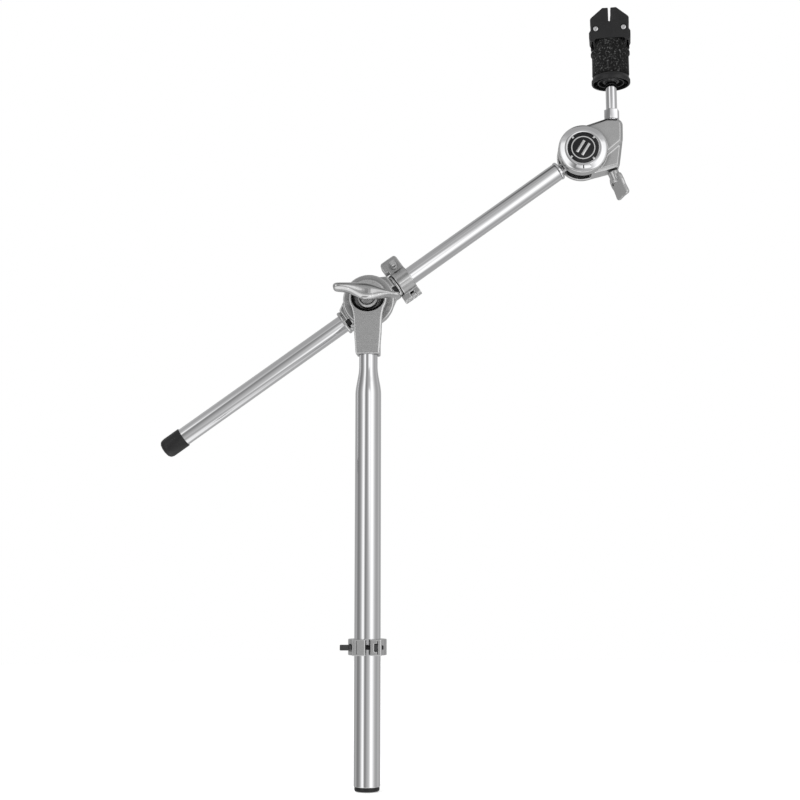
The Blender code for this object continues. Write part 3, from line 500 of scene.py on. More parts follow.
EYE_ROOM = 11.9
SIDEWAYS = LEVEL_DISC @ place_at(turn=(90, 0, 90))                    # Z along the boom, X up
pocket = arc(EYE_ROOM, 0, 180, 30, (0, -BOOM_Y)) + [(-EYE_ROOM, -BOOM_Y - 20), (EYE_ROOM, -BOOM_Y - 20)]
eye_room, bolt_hole = slab("eye_room", pocket, -5.4, 5.4, SIDEWAYS), rod(4.4, -20, 5, LEVEL_DISC)
carved(clamp, eye_room, rod(BARREL_BORE, -40, 40, LEVEL_BARREL, 0, 96), bolt_hole)
WINDOW_WIDE = 4.0
for low in (-27.1, 23.1):
    window = [(low, -7.9), (low + WINDOW_WIDE, -7.9), (low + WINDOW_WIDE, -1.7), (low, -1.7)]
    carved(clamp, slab("window", window, -BOOM_Y + 4.3, -1.0, LEVEL_DISC))
cast_skin(clamp, 0.42, 5)
settled(clamp, TILTED)
finish(clamp, "boom_clamp", "plated_casting", plated, "boom_clamp", sharp=0)


def ridges(radius, low, high, pitch=1.25, depth=0.45):
    """The outline of a screw thread, as close rings."""
    line = []
    for step in range(int((high - low) / pitch)):
        foot = low + step * pitch
        line += [(radius - depth, foot), (radius, foot + 0.4 * pitch), (radius, foot + 0.6 * pitch)]
    return line + [(radius - depth, high)]


eye_line = [(BARREL_BORE, -5.0), (11.1, -5.0), (11.6, -4.5), (11.6, 4.5), (11.1, 5.0), (BARREL_BORE, 5.0),
            (BARREL_BORE, -5.0)]
eye = spun("eye_bolt", eye_line, BARREL)
bolt_line = [(0, 10.0), (3.9, 10.0), (3.9, 22.0), *ridges(4.0, 22.5, 46.4), (3.1, 46.9), (0, 46.9)]
welded(eye, spun("bolt", bolt_line, TILTED @ place_at(0, BOOM_Y, 0, (90, 0, 0)), 48))
finish(eye, "boom_clamp", "steel", steel, "clamp_eye_bolt")

# ---------------------------------------------------------------- wing nut
# A plated zinc wing nut on an M8 thread: a tapered hub with one S-shaped leaf to each side, seen
# edge on, over a loose steel washer.
def bar(name, start, sections, corners):
    """Raise a disc through sections of (x, y, z, half width, half depth), scaling it at each."""
    bpy.ops.object.select_all(action="DESELECT")
    x, y, z, wide, deep = start
    bpy.ops.mesh.primitive_circle_add(vertices=corners, radius=MM, fill_type="NGON",
                                      location=(x * MM, y * MM, z * MM))
    piece = bpy.context.object
    piece.name = piece.data.name = name
    bpy.ops.object.mode_set(mode="EDIT")
    bpy.ops.transform.resize(value=(wide, deep, 1), center_override=(x * MM, y * MM, z * MM))
    for nx, ny, nz, new_wide, new_deep in sections:
        step = ((nx - x) * MM, (ny - y) * MM, (nz - z) * MM)
        bpy.ops.mesh.extrude_region_move(TRANSFORM_OT_translate={"value": step})
        bpy.ops.transform.resize(value=(new_wide / wide, new_deep / deep, 1),
                                 center_override=(nx * MM, ny * MM, nz * MM))
        x, y, z, wide, deep = nx, ny, nz, new_wide, new_deep
    bpy.ops.mesh.select_all(action="SELECT")
    bpy.ops.mesh.normals_make_consistent(inside=False)
    bpy.ops.object.mode_set(mode="OBJECT")
    return piece


disc_washer = [(4.4, 0.0), (8.1, 0.0), (8.4, 0.3), (8.4, 1.3), (8.1, 1.6), (4.4, 1.6), (4.4, 0.0)]
finish(spun("nut_washer", disc_washer, place_at(0, -12.7, PIVOT_Z, (90, 0, 0))), "wing_nut_washer", "steel",
       steel, "wing_nut_washer")

NUT_SEAT = place_at(0, -14.6, PIVOT_Z, (90, 0, 0))      # Z to the front, Y up
hub_line = [(0, 0), (6.9, 0), (7.5, 0.5), (7.6, 1.4), (7.2, 5.0), (6.0, 12.0), (5.6, 15.4), (4.8, 16.6),
            (0, 16.6)]
nut = spun("wing_nut_casting", hub_line, NUT_SEAT)
leaf = []
for x, up, thick, near, far in (      # across, height, thickness, and reach from the seat
        (-27.0, 4.7, 5.4, 10.4, 22.6), (-25.6, 4.7, 7.2, 8.8, 24.0), (-22.5, 4.7, 7.6, 7.4, 24.6),
        (-18.3, 4.7, 7.8, 6.2, 24.0), (-13.2, 4.4, 9.2, 5.6, 22.4), (-8.1, 3.0, 12.6, 4.8, 20.4),
        (-2.9, 2.0, 15.4, 4.4, 19.0), (2.2, 1.5, 15.4, 4.4, 18.8), (7.3, 1.0, 13.0, 4.6, 19.8),
        (12.4, 0.1, 9.8, 5.2, 21.6), (16.5, -0.9, 7.0, 5.8, 23.0), (20.6, -1.7, 5.2, 6.6, 24.2),
        (24.7, -2.4, 4.3, 7.8, 24.6), (27.6, -3.0, 3.9, 9.0, 24.0), (29.2, -3.2, 2.6, 10.8, 22.4),
        (29.7, -3.3, 1.0, 12.6, 20.2)):
    leaf.append(((near + far) / 2, up, x, (far - near) / 2, thick / 2))
wings = bar("wings", (16.5, 4.6, -27.6, 4.6, 1.4), leaf, 24)
applied(wings, "SUBSURF", levels=1, render_levels=1)
settled(wings, NUT_SEAT @ place_at(turn=(0, 90, 0)) @ Matrix.Scale(-1, 4, (1, 0, 0)))
alone(wings)
bpy.ops.object.mode_set(mode="EDIT")
bpy.ops.mesh.select_all(action="SELECT")
bpy.ops.mesh.normals_make_consistent(inside=False)
bpy.ops.object.mode_set(mode="OBJECT")
welded(nut, wings)
carved(nut, rod(4.35, -2.0, 15.4, NUT_SEAT))
cast_skin(nut, 0.3, 5)
finish(nut, "wing_nut", "plated_casting", plated, "tilter_wing_nut", sharp=0)

# ---------------------------------------------------------------- boom
# The boom is a 15.9 mm chrome tube in a nylon sleeve, capped in black at its low end. At its tip a
# turned plug with a collar carries the thin neck that goes into the head.
SLEEVE_BORE, BOOM_R, BOOM_BORE = 8.24, 7.94, 6.74
BOOM_LOW, BOOM_HIGH = -220.0, 204.1         # the tube's ends, from the clamp
sleeve_line = [(SLEEVE_BORE, -29.1), (8.9, -29.1), (9.15, -28.8), (9.15, 28.8), (8.9, 29.1),
               (SLEEVE_BORE, 29.1), (SLEEVE_BORE, -29.1)]
finish(spun("boom_sleeve", sleeve_line, BARREL), "boom_liner", "nylon", dark_nylon, "boom_liner")

boom_line = [(BOOM_BORE, BOOM_LOW), (BOOM_R, BOOM_LOW), (BOOM_R, 203.4), (7.7, BOOM_HIGH),
             (BOOM_BORE, BOOM_HIGH), (BOOM_BORE, BOOM_LOW)]
finish(spun("boom_shell", boom_line, BARREL, 128), "boom", "chrome", chrome, "boom_tube")
cap_line = [(8.16, -201.7), (8.5, -201.7), (8.75, -201.9), (8.85, -202.3), (8.85, -216.5), (8.7, -218.3),
            (8.25, -219.8), (7.4, -221.1), (6.0, -222.1), (3.6, -222.7), (0, -222.8), (0, -220.3),
            (8.16, -220.3), (8.16, -201.7)]
finish(spun("end_cap_moulding", cap_line, BARREL), "boom", "black_plastic", moulded, "boom_end_cap")
tip_line = [(0, 181), (5.6, 181), (6.44, 182), (6.44, 204.4), (7.6, 204.4), (8.2, 204.6), (8.5, 205.0),
            (8.5, 206.3), (8.1, 206.9), (7.2, 207.2), (5.2, 207.3), (4.5, 207.6), (4.2, 208.4), (4.2, 213.2),
            (3.8, 213.6), (3.0, 213.6), (3.0, 221.1), (0, 221.1)]
finish(spun("boom_tip", tip_line, BARREL), "boom", "chrome", chrome, "boom_tip_plug")

# ---------------------------------------------------------------- memory locks
# Each lock is two die-cast jaws on a hinge pin, drawn together by a square-headed key screw that
# runs into a square nut. One sits on the post, the other on the boom where it meets the clamp.
def jaw_outline(side, bore, outer, inner_face, outer_face, depth):
    """Half a ring from the hinge round to an ear, drawn about the tube's axis; side is -1 or 1."""
    gap = 0.3
    front_in = math.degrees(math.acos(inner_face / bore))
    front_out = math.degrees(math.acos(outer_face / outer))
    back_in = math.degrees(math.asin(gap / bore))
    back_out = math.degrees(math.asin(gap / outer))
    line = arc(bore, -front_in, 90 - back_in, 30) + arc(outer, 90 - back_out, -front_out, 34)
    line += arc(1.3, 0, -90, 5, (outer_face - 1.3, -depth + 1.3))
    line += arc(0.8, -90, -180, 3, (inner_face + 0.8, -depth + 0.8))
    return [(side * x, y) for x, y in line]


def block(low, high, place=HERE, edge=0.0):
    """A cube between two corners."""
    bpy.ops.object.select_all(action="DESELECT")
    middle = [(a + b) / 2 * MM for a, b in zip(low, high)]
    bpy.ops.mesh.primitive_cube_add(size=MM, location=middle)
    piece = bpy.context.object
    piece.scale = [b - a for a, b in zip(low, high)]
    bpy.ops.object.transform_apply(location=True, rotation=True, scale=True)
    if edge:
        rounded(piece, edge)
    return settled(piece, place)


EAR_CORNER = 3.2


def lock_jaw(name, side, place, bore, outer, ears, depth, half, screw_y, knuckle, nut_side, overhang):
    """One jaw. The left one (side -1) has the hinge's middle knuckle, the right one the outer two. Half
    is half its height, ears are its inner and outer face, knuckle is the hinge's place and radius, and an
    overhang lengthens the ear and the hinge downwards."""
    third = half / 3
    knuckle_y, knuckle_r = knuckle
    inner_face, outer_face = ears
    jaw = slab(name, jaw_outline(side, bore, outer, inner_face, outer_face, depth), -half, half, HERE, 0.55)
    if overhang:
        xs = sorted((side * (inner_face + 0.05), side * (outer_face - 0.05)))
        welded(jaw, block((xs[0], -depth + 0.05, -half - overhang), (xs[1], -outer - 1.4, 0), HERE, 0.7))
        low_z, high_z, round_y = -6.8, half - EAR_CORNER, -depth + EAR_CORNER
        low_corner = arc(EAR_CORNER, 270, 180, 6, (low_z, round_y))
        low_corner = [(-11, -24), (low_z, -24)] + low_corner + [(-11, round_y)]
        high_corner = arc(EAR_CORNER, 0, -90, 6, (high_z, round_y))
        high_corner = [(8, round_y)] + high_corner + [(high_z, -24), (8, -24)]
        for corner in (low_corner, high_corner):
            carved(jaw, slab("corner", corner, -20, 20, place_at(turn=(0, -90, 0))))
    spans = [(-third + 0.2, third - 0.2)] if side < 0 else [(-half, -third - 0.2), (third + 0.2, half)]
    clears = [(-half - 1, -third), (third, half + 1)] if side < 0 else [(-third - 0.01, third + 0.01)]
    for low, high in clears:      # room for the other jaw's knuckles
        carved(jaw, rod(knuckle_r + 0.3, low, high, place_at(0, knuckle_y, 0)))
    for low, high in spans:
        line = [(0.45, bore + 1.1), (knuckle_r, bore + 1.1)] + arc(knuckle_r, 0, 265, 28, (0, knuckle_y))
        welded(jaw, slab("knuckle", [(side * x, y) for x, y in line], low, high, HERE, 0.3))
    if overhang and side > 0:
        welded(jaw, block((0.5, outer - 0.5, -half - overhang), (knuckle_r, knuckle_y + 0.5, -half + 0.8)),
               block((0.5, outer - 0.6, -half - 0.1), (knuckle_r, knuckle_y - knuckle_r - 0.4, half - 0.4)))
        welded(jaw, rod(knuckle_r - 0.1, -half - overhang, -third - 0.3, place_at(0, knuckle_y, 0), 0.5))
    pin_hole = rod(1.7, -half - 9, half + 9, place_at(0, knuckle_y, 0), sides=32)
    screw_hole = rod(2.4, -30, 30, place_at(0, screw_y, 0, (0, 90, 0)), sides=32)
    carved(jaw, pin_hole, screw_hole)
    if side == nut_side:
        middle = side * (inner_face + outer_face) / 2
        nut_slot = block((middle - 1.5, -depth - 1, -3.3), (middle + 1.5, screw_y + 3.4, 3.3))
        carved(jaw, nut_slot)
    cast_skin(jaw, 0.28, 4)
    return settled(jaw, place)


def key_screw(name, place, side, near_face, far_face, length):
    """The screw lies along local X; its square head stands out past the ear on that side."""
    line = [(0, -far_face - 1.5), (1.5, -far_face - 1.5)]
    line += ridges(2.0, -far_face - 1.2, near_face - 2.0, 0.8, 0.3)
    line += [(2.0, near_face - 2.0), (2.0, near_face + 0.3), (3.0, near_face + 0.3), (3.2, near_face + 0.5),
             (3.2, near_face + 2.0), (2.6, near_face + 2.6), (0, near_face + 2.6)]
    along = place @ place_at(turn=(0, 90 * side, 0))
    square = arc(0.7, 180, 270, 4, (-1.6, -1.6)) + arc(0.7, 270, 360, 4, (1.6, -1.6))
    square += arc(0.7, 0, 90, 4, (1.6, 1.6)) + arc(0.7, 90, 180, 4, (-1.6, 1.6))
    screw = spun(name, line, along, 48)
    return welded(screw, slab("key", square, near_face + 2.0, near_face + length, along, lip=(0.4, 0.5)))


# A dark steel. On the lock nuts and the gyro disc its darkness is painted shade that stands for their shaded
# slots. The post lock's key screw also uses it.
dark_steel, tree, shader, vector = new_material("dark_steel_and_painted_slot_shade", (0.11, 0.11, 0.112), 1.0, 0.35)
vary_roughness(tree, shader, grain(tree, vector, 400.0, 3.0), 0.28, 0.42)

POST_LOCK_Z = joints["post_lock_screw_spin"]["pos_m"][2] / MM
LOCK = place_at(0, 0, POST_LOCK_Z, (0, 0, 6.0))
LEFT_EAR, RIGHT_EAR = (2.0, 13.2), (2.0, 11.6)      # inner and outer face, from the middle
HALF_HEIGHT, KEY_LONG = 6.7, 9.9
POST_SCREW_Y = -16.6
for side, node, ears in ((-1, "post_lock_left_jaw", LEFT_EAR), (1, "post_lock_right_jaw", RIGHT_EAR)):
    jaw = lock_jaw(node + "_casting", side, LOCK, bore=11.4, outer=16.2, ears=ears, depth=20.6,
                   half=HALF_HEIGHT, screw_y=POST_SCREW_Y, knuckle=(17.2, 3.2), nut_side=1, overhang=0.0)
    groove = side * (ears[1] - 3.6)
    carved(jaw, block((groove - 0.35, -22, -5.4), (groove + 0.35, -19.7, 5.4), LOCK))
    finish(jaw, "post_lock", "plated_casting", plated, node, sharp=0)
screw = key_screw("post_lock_screw", LOCK @ place_at(0, POST_SCREW_Y, 0), -1, LEFT_EAR[1], RIGHT_EAR[1],
                  KEY_LONG)
finish(screw, "post_lock_screw", "steel", dark_steel, "post_lock_key_screw")

COLLAR = TILTED @ place_at(36.4, BOOM_Y, 0, (0, 90, 0)) @ place_at(turn=(0, 0, -90))
COLLAR_EAR = (0.8, 6.0)
COLLAR_SCREW_Y = -15.4
for side, node in ((-1, "boom_lock_rear_jaw"), (1, "boom_lock_front_jaw")):
    jaw = lock_jaw(node + "_casting", side, COLLAR, bore=8.24, outer=11.6, ears=COLLAR_EAR, depth=23.2,
                   half=HALF_HEIGHT, screw_y=COLLAR_SCREW_Y, knuckle=(15.9, 3.0), nut_side=-1, overhang=3.4)
    finish(jaw, "boom_lock", "plated_casting", plated, node, sharp=0)
screw = key_screw("boom_lock_screw", COLLAR @ place_at(0, COLLAR_SCREW_Y, 0), 1, COLLAR_EAR[1], COLLAR_EAR[1],
                  KEY_LONG)
finish(screw, "boom_lock_screw", "steel", steel, "boom_lock_key_screw")


def replated(node, look):
    """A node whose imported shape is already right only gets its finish."""
    frame["nodes"][node].data.materials.clear()
    frame["nodes"][node].data.materials.append(look)


for node in ("post_lock_hinge_pin", "boom_lock_hinge_pin", "boom_tip_roll_pin"):
    replated(node, steel)
# Painted shade: the lock nuts take the dark steel so that their slots in the ears read dark.
for node in ("post_lock_nut", "boom_lock_nut"):
    replated(node, dark_steel)

# ---------------------------------------------------------------- tilter head
# The head is a plated zinc drum with a toothless friction disc inside; a chromed ring and a gloss
# black badge close its front. The casting beside the drum holds the cymbal rod and the wing bolt.
HEAD_X = joints["head_tilt"]["pos_m"][0] / MM
HEAD_Z = joints["head_tilt"]["pos_m"][2] / MM
HEAD = place_at(HEAD_X, 0, HEAD_Z, (90, 0, 0))              # Z to the front, Y up
rod_low, rod_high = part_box("cymbal_rod")
ROD_X = (rod_low.x + rod_high.x) / 2 / MM

DRUM_R, DRUM_INNER = 21.6, 17.9
drum = [(0, -29.0), (19.9, -29.0), (21.1, -28.6), (DRUM_R, -27.6), (DRUM_R, -2.0), (21.2, -1.5), (20.6, -1.3),
        (19.0, -1.3), (19.0, -6.4), (DRUM_INNER, -6.4), (DRUM_INNER, -24.0), (3.8, -24.0), (3.8, -9.0),
        (1.9, -9.0), (1.9, -22.0), (0, -22.0)]
housing = spun("head_housing_casting", drum, HEAD, 128)
shoulder = arc(5.6, 0, 66, 7, (30.3, 23.4)) + [(31.0, 29.3), (21.8, 29.7), (-6.7, 20.4)]
inside_drum = [(-6.0, 10.0), (3.0, -10.0), (5.2, -20.8)]
arm_line = arc(3.0, -70, -8, 6, (29.8, -11.6)) + [(33.9, -4.0), (35.7, 9.6), (35.9, 20.4)]
arm_line += shoulder + inside_drum
top_line = arc(2.6, -62, -8, 4, (33.0, 9.2)) + [(35.8, 14.0), (35.9, 20.4)] + shoulder
top_line += [(-6.0, 10.0), (10.0, -8.0), (20.0, -5.2)]
arm = slab("rod_arm", arm_line, -28.0, -9.2, HEAD, lip=(2.4, 2.0))
welded(arm, slab("arm_top", top_line, -20.0, -6.6, HEAD, lip=(2.6, 2.2)))
welded(housing, carved(arm, rod(19.9, -30.0, 2.0, HEAD, sides=128)))

SWING = (292.4, 151.2)      # the neck's slot round the drum, in degrees
slot_line = arc(16.4, *SWING, 40) + arc(24.6, *reversed(SWING), 40)
shoe_line = arc(16.9, -10, 38, 20) + arc(21.5, 38, -10, 20)
neck_slot = slab("neck_slot", slot_line, -BOOM_Y - 5.8, -BOOM_Y + 5.8, HEAD, 2.4, 5)
rod_bore = rod(5.2, 0, 30, place_at(ROD_X, BOOM_Y, HEAD_Z + 8.5))
shoe_room = slab("shoe_room", shoe_line, -BOOM_Y - 4.6, -BOOM_Y + 4.6, HEAD)
carved(housing, neck_slot, rod_bore, shoe_room)
exit_at = joints["head_wing_spin"]["pos_m"]
WING_AXIS = Vector(joints["head_wing_spin"]["axis"])
LEAN = math.degrees(math.atan2(WING_AXIS.x, -WING_AXIS.z))
WING = place_at(*[c / MM for c in exit_at], (0, 180 - LEAN, 0))      # Z down the bolt
carved(housing, rod(3.4, -11.5, 6.0, WING))
cast_skin(housing, 0.42, 4)
finish(housing, "tilter_head", "plated_casting", plated, "head_housing", sharp=0)

ring_line = [(0, -0.6), (13.9, -0.6), (13.9, 0.7), (14.1, 1.1), (14.6, 1.3), (16.2, 1.25), (16.8, 1.0),
             (19.6, -0.1), (20.5, -0.5), (20.9, -0.8), (20.9, -1.0), (18.6, -1.0), (18.6, -6.0), (0, -6.0)]
ring = spun("head_ring", ring_line, HEAD, 128)
cap_screw_hole, hub_recess = rod(2.3, -10, 2, HEAD, sides=32), rod(7.4, -8, -5, HEAD, sides=64)
carved(ring, cap_screw_hole, hub_recess)
panel_line = arc(15.4, 249, 291, 12) + arc(19.3, 291, 249, 12)
carved(ring, slab("tick_panel", panel_line, 0.35, 2.0, HEAD))
finish(ring, "tilter_head", "chrome", chrome, "head_front_cap")

gloss, tree, shader, vector = new_material("gloss_black", (0.008, 0.008, 0.009), 0.0, 0.2)
shader.inputs["Specular IOR Level"].default_value = 0.35
vary_roughness(tree, shader, grain(tree, vector, 700.0, 2.0), 0.12, 0.24)
badge_line = [(0, -0.1), (13.6, -0.1), (13.6, 0.4), (13.4, 0.7), (13.0, 0.8), (0, 0.8)]
finish(spun("badge_disc", badge_line, HEAD), "tilter_head", "badge", gloss, "head_badge")
tick = block((-0.5, -18.8, 0.2), (0.5, -15.9, 0.75), HEAD, 0.1)
tick.name = tick.data.name = "index_tick"
finish(tick, "tilter_head", "badge", gloss)
# The inlay is a hoop, four tabs round it and two slanted bars inside it, all standing on the disc.
INLAY_Z, INLAY_TOP, SLANT = 0.75, 1.0, -32
hoop_line = [(9.6, INLAY_Z), (10.5, INLAY_Z), (10.5, INLAY_TOP), (9.6, INLAY_TOP), (9.6, INLAY_Z)]
inlay = [spun("hoop", hoop_line, HEAD)]
for angle in (44, 134, 218, 312):
    inlay.append(block((12.2, -0.85, INLAY_Z), (14.3, 0.85, 1.38), HEAD @ place_at(turn=(0, 0, angle)), 0.15))
for x in (-2.6, 2.6):
    inlay.append(block((x - 1.1, -6.2, INLAY_Z), (x + 1.1, 6.2, INLAY_TOP),
                       HEAD @ place_at(turn=(0, 0, SLANT)), 0.1))
alone(inlay[0])
for mark in inlay:
    mark.select_set(True)
bpy.ops.object.join()
inlay[0].name = inlay[0].data.name = "badge_inlay"
finish(inlay[0], "tilter_head", "chrome", plated)

for node in ("head_cap_screw", "head_brake_shoe"):
    replated(node, steel)
# Painted shade: the friction disc takes the dark steel so that the neck slot round the drum reads dark.
gyro_line = [(4.2, -6.2), (7.0, -6.2), (7.0, -4.9), (16.9, -4.9), (17.4, -4.4), (17.4, 4.4), (16.9, 4.9),
             (7.0, 4.9), (7.0, 11.0), (4.2, 11.0), (4.2, -6.2)]
gyro = spun("friction_disc", gyro_line, place_at(HEAD_X, BOOM_Y, HEAD_Z, (90, 0, 0)), 128)
REACH = 231.5      # from the clamp to the head, along the boom
carved(gyro, rod(3.3, REACH - 19.4, REACH - 9.8, BARREL, sides=48))
finish(gyro, "boom", "steel", dark_steel, "gyro_disc")

# The wing bolt is an M6 stem cast into a flat plated wing; it pushes the brake shoe on the disc.
stem_line = [(0, -10.0), (1.5, -10.0), *ridges(3.0, -9.0, 4.0, 1.0, 0.35), (3.0, 4.0), (3.0, 6.4), (0, 6.4)]
finish(spun("wing_bolt_stem", stem_line, WING, 48), "head_wing_bolt", "steel", steel, "head_bolt_stem")
boss_line = [(3.3, 3.6), (4.3, 3.6), (4.8, 4.0), (5.0, 4.8), (5.0, 8.6), (4.6, 12.0), (3.6, 14.0), (0, 14.6),
             (0, 6.8), (3.3, 6.8), (3.3, 3.6)]
wing = spun("head_wing_casting", boss_line, HERE, 64)
leaf_line = [(-9.2, 11.0), (-8.8, 9.4), (-7.8, 8.4), (-5.4, 8.0), (-4.6, 9.6), (-3.4, 10.4), (3.4, 10.4),
             (4.6, 9.6), (5.0, 7.4), (6.4, 7.0), (8.2, 8.6), (9.2, 11.0), (9.6, 15.0), (8.6, 19.0),
             (9.4, 26.4), (8.8, 28.0), (7.4, 28.7), (0, 28.4), (-7.2, 28.7), (-8.8, 28.0), (-9.4, 26.6),
             (-8.9, 20.0), (-9.4, 15.0)]
welded(wing, slab("leaves", leaf_line, -1.7, 1.7, place_at(turn=(90, 0, 0)), 1.0))
carved(wing, rod(1.5, -6, 6, place_at(5.6, 0, 13.6, (90, 0, 0)), sides=32))
cast_skin(wing, 0.26, 4)
settled(wing, WING @ place_at(turn=(0, 0, 66)))
finish(wing, "head_wing_bolt", "plated_casting", plated, "head_wing", sharp=0)

# ---------------------------------------------------------------- cymbal rod and seat
# A 10 mm polished rod, threaded M8 at the top and locked into the head by a hexagon nut. The black
# sleeve on it has a ribbed cup below and carries a thick felt washer for the cymbal.
STACK = place_at(ROD_X, BOOM_Y, 0)
rod_line = [(0, 557.9), (4.3, 557.9), (4.7, 558.1), (4.9, 558.5), (4.9, 621.0), (4.0, 622.0),
            *ridges(4.0, 622.5, 671.8), (3.3, 672.3), (3.0, 672.6), (0, 672.6)]
finish(spun("cymbal_rod_bar", rod_line, STACK, 96), "tilter_head", "chrome", chrome, "cymbal_rod")
ACROSS_FLATS = 12.0
hexagon = arc(ACROSS_FLATS / math.sqrt(3), 12, 312, 5)
lock_nut = slab("lock_nut", hexagon, 580.2, 589.3, STACK, lip=(0.35, 0.3))
carved(lock_nut, rod(5.2, 570, 600, STACK))
rounded(lock_nut, 0.18, 2, 40)
finish(lock_nut, "tilter_head", "chrome", chrome, "rod_lock_nut", sharp=28)

SEAT_Z = 613.6
cup_line = [(5.3, 2.2), (7.2, 2.2), (7.4, 2.4), (7.4, 4.6), (10.8, 4.6), (10.8, 1.2), (11.0, 1.0),
            (11.7, 1.0), (11.9, 1.2), (11.9, 4.6), (15.6, 4.6), (15.6, 0.2), (15.8, 0.0), (16.5, 0.0),
            (17.0, 0.2), (17.2, 0.7), (17.2, 3.0), (17.0, 3.6), (16.3, 4.7), (16.2, 5.7), (6.7, 5.7),
            (6.5, 5.9), (6.5, 38.0), (6.3, 38.2), (5.3, 38.2), (5.3, 2.2)]
cup = spun("seat_sleeve", [(r, SEAT_Z + z) for r, z in cup_line], STACK)
RIBS = 8
for number in range(RIBS):
    spoke = STACK @ place_at(turn=(0, 0, 360 // RIBS * number + 12))
    welded(cup, block((11.6, -0.4, SEAT_Z + 2.2), (15.8, 0.4, SEAT_Z + 4.8), spoke))
finish(cup, "tilter_head", "black_plastic", moulded, "cymbal_sleeve")

wool, tree, shader, vector = new_material("black_felt", (0.01, 0.01, 0.01), 0.0, 1.0)
FLECKS = [(0.0, 0.005), (0.5, 0.008), (0.6, 0.03), (0.72, 0.12), (1.0, 0.2)]
flecks = shades(tree, grain(tree, vector, 620.0, 4.0), FLECKS, "flecks")
tree.links.new(flecks, shader.inputs["Base Color"])
shader.inputs["Sheen Weight"].default_value = 0.12
shader.inputs["Sheen Roughness"].default_value = 0.5
shader.inputs["Sheen Tint"].default_value = grey(0.25)
shader.inputs["Specular IOR Level"].default_value = 0.15
add_bump(tree, shader, grain(tree, vector, 1900.0, 4.0), 0.35)


def felt_ring(name, profile):
    """A felt washer: its outline divided into short steps, then every point nudged a little."""
    step_mm = 0.9
    line = []
    for (r0, z0), (r1, z1) in zip(profile, profile[1:]):
        steps = max(1, round(math.hypot(r1 - r0, z1 - z0) / step_mm))
        line += [(r0 + (r1 - r0) * k / steps, z0 + (z1 - z0) * k / steps) for k in range(steps)]
    piece = spun(name, line + [profile[0]], STACK, 120)
    alone(piece)
    bpy.ops.object.mode_set(mode="EDIT")
    bpy.ops.mesh.select_all(action="SELECT")
    bpy.ops.transform.vertex_random(offset=0.09 * MM, uniform=0.3, normal=0.7, seed=4)
    bpy.ops.object.mode_set(mode="OBJECT")
    return piece


FELT_BORE = 7.1
thick_pad = [(FELT_BORE, 619.7), (14.2, 619.7), (15.3, 620.1), (16.1, 621.0), (16.4, 622.2), (16.3, 638.9),
             (16.6, 640.0), (17.3, 641.1), (17.3, 643.0), (16.9, 644.0), (15.9, 644.5), (FELT_BORE, 644.5),
             (FELT_BORE, 619.7)]
finish(felt_ring("lower_felt_washer", thick_pad), "tilter_head", "felt", wool, "lower_felt", sharp=0)
thin_pad = [(FELT_BORE, 645.1), (13.4, 645.1), (14.0, 645.5), (14.1, 646.2), (14.1, 651.2), (13.8, 651.8),
            (13.2, 652.0), (FELT_BORE, 652.0), (FELT_BORE, 645.1)]
finish(felt_ring("upper_felt_washer", thin_pad), "quick_nut", "felt", wool, "upper_felt", sharp=0)

# ---------------------------------------------------------------- quick-release nut
# A black moulded body with two cheek plates. Two half-nut levers turn on bright pins between the
# plates; coil springs round the pins close their teeth on the rod's thread.
NUT_BODY_Z = 652.4
PIN_X, PIN_Z = 12.3, 662.0
lever_axis = joints["right_lever_squeeze"]["axis"]
NUT_TURN = math.degrees(math.atan2(lever_axis[1], lever_axis[0]))
GRIP = STACK @ place_at(turn=(0, 0, NUT_TURN - 90))
CHEEK = GRIP @ place_at(turn=(90, 0, 0))
base = slab("quick_nut_moulding", cushion(29.4, 24.6, 2.0), NUT_BODY_Z, NUT_BODY_Z + 3.2, GRIP, 0.4)
half_plate = [(11.4, 653.0), (11.9, 652.7), (13.1, 651.0), (13.7, 650.6), (16.4, 650.6), (17.1, 650.9),
              (17.4, 651.6), (17.4, 657.4), (16.3, 661.4), (16.3, 667.6), (15.9, 669.0), (14.8, 669.4),
              (0.6, 668.1)]
plate = half_plate + [(0, 667.4)] + [(-x, z) for x, z in reversed(half_plate)]
for low, high in ((-12.39, -9.8), (9.8, 12.39)):
    welded(base, slab("cheek", plate, low, high, CHEEK, 0.35))
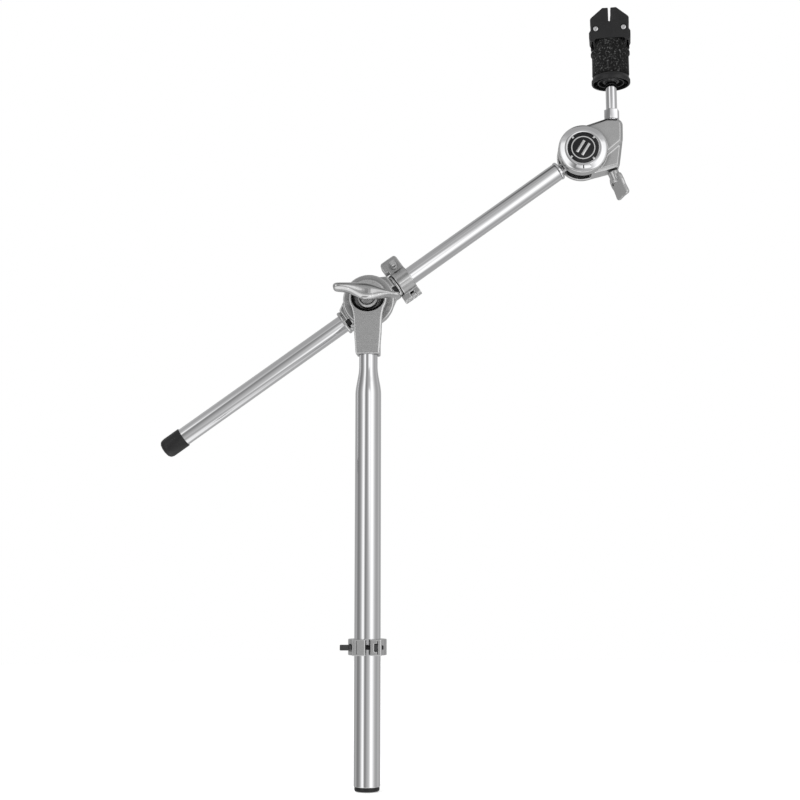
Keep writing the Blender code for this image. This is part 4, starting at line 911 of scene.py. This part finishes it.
carved(base, rod(5.4, 640, 690, GRIP))
for side in (-1, 1):
    carved(base, rod(2.75, -20, 20, GRIP @ place_at(side * PIN_X, 0, PIN_Z, (90, 0, 0)), sides=32))
finish(base, "quick_nut", "black_plastic", moulded, "quick_nut_body")

for side, hand in ((-1, "left"), (1, "right")):
    hinge = GRIP @ place_at(side * PIN_X, 0, PIN_Z, (90, 0, 0))
    teeth = [(1.0, 3.2), (1.0, 8.6), (0.5, 10.2), (0.9, 13.0), (0.9, 16.6), (1.1, 20.1)]
    if side < 0:
        teeth = [(1.0, 3.2), (1.0, 8.6), (1.4, 10.2), (1.0, 13.0), (1.0, 16.6), (1.1, 20.1)]
    lever_line = teeth + [(1.6, 20.4), (5.8, 20.5), (6.6, 20.1), (16.2, 11.9), (16.9, 11.0), (17.2, 10.0),
                          (17.2, 5.4), (16.3, 1.6), (16.9, 0.0), (18.2, -2.0), (18.4, -2.8), (18.4, -6.8),
                          (17.9, -8.1), (17.2, -8.7), (16.2, -8.5), (16.0, -8.0), (16.0, -6.0), (14.6, -5.2),
                          (9.0, -5.2), (8.6, -0.6), (5.2, 3.2)]
    lever_line = [(side * (x - PIN_X), z) for x, z in lever_line]
    lever = slab(f"{hand}_lever_moulding", lever_line, -9.5, 9.5, hinge, 0.4)
    carved(lever, rod(1.95, -12, 12, hinge, sides=32), rod(3.3, -4.2, 4.2, hinge, sides=48),
           rod(4.3, PIN_Z - 3.0, PIN_Z + 11.6, GRIP))
    finish(lever, f"{hand}_lever", "black_plastic", moulded, f"quick_nut_{hand}_lever")
    pin_line = [(0, -12.2), (2.2, -12.2), (2.4, -12.0), (2.4, -9.9), (1.65, -9.6), (1.65, 9.6), (2.4, 9.9),
                (2.4, 12.0), (2.2, 12.4), (1.8, 12.65), (1.3, 12.78), (0.9, 12.7), (0.6, 12.4), (0, 12.3)]
    finish(spun(f"{hand}_pin", pin_line, hinge, 48), "quick_nut", "chrome", chrome, f"quick_nut_{hand}_pin")
    replated(f"quick_nut_{hand}_spring", steel)
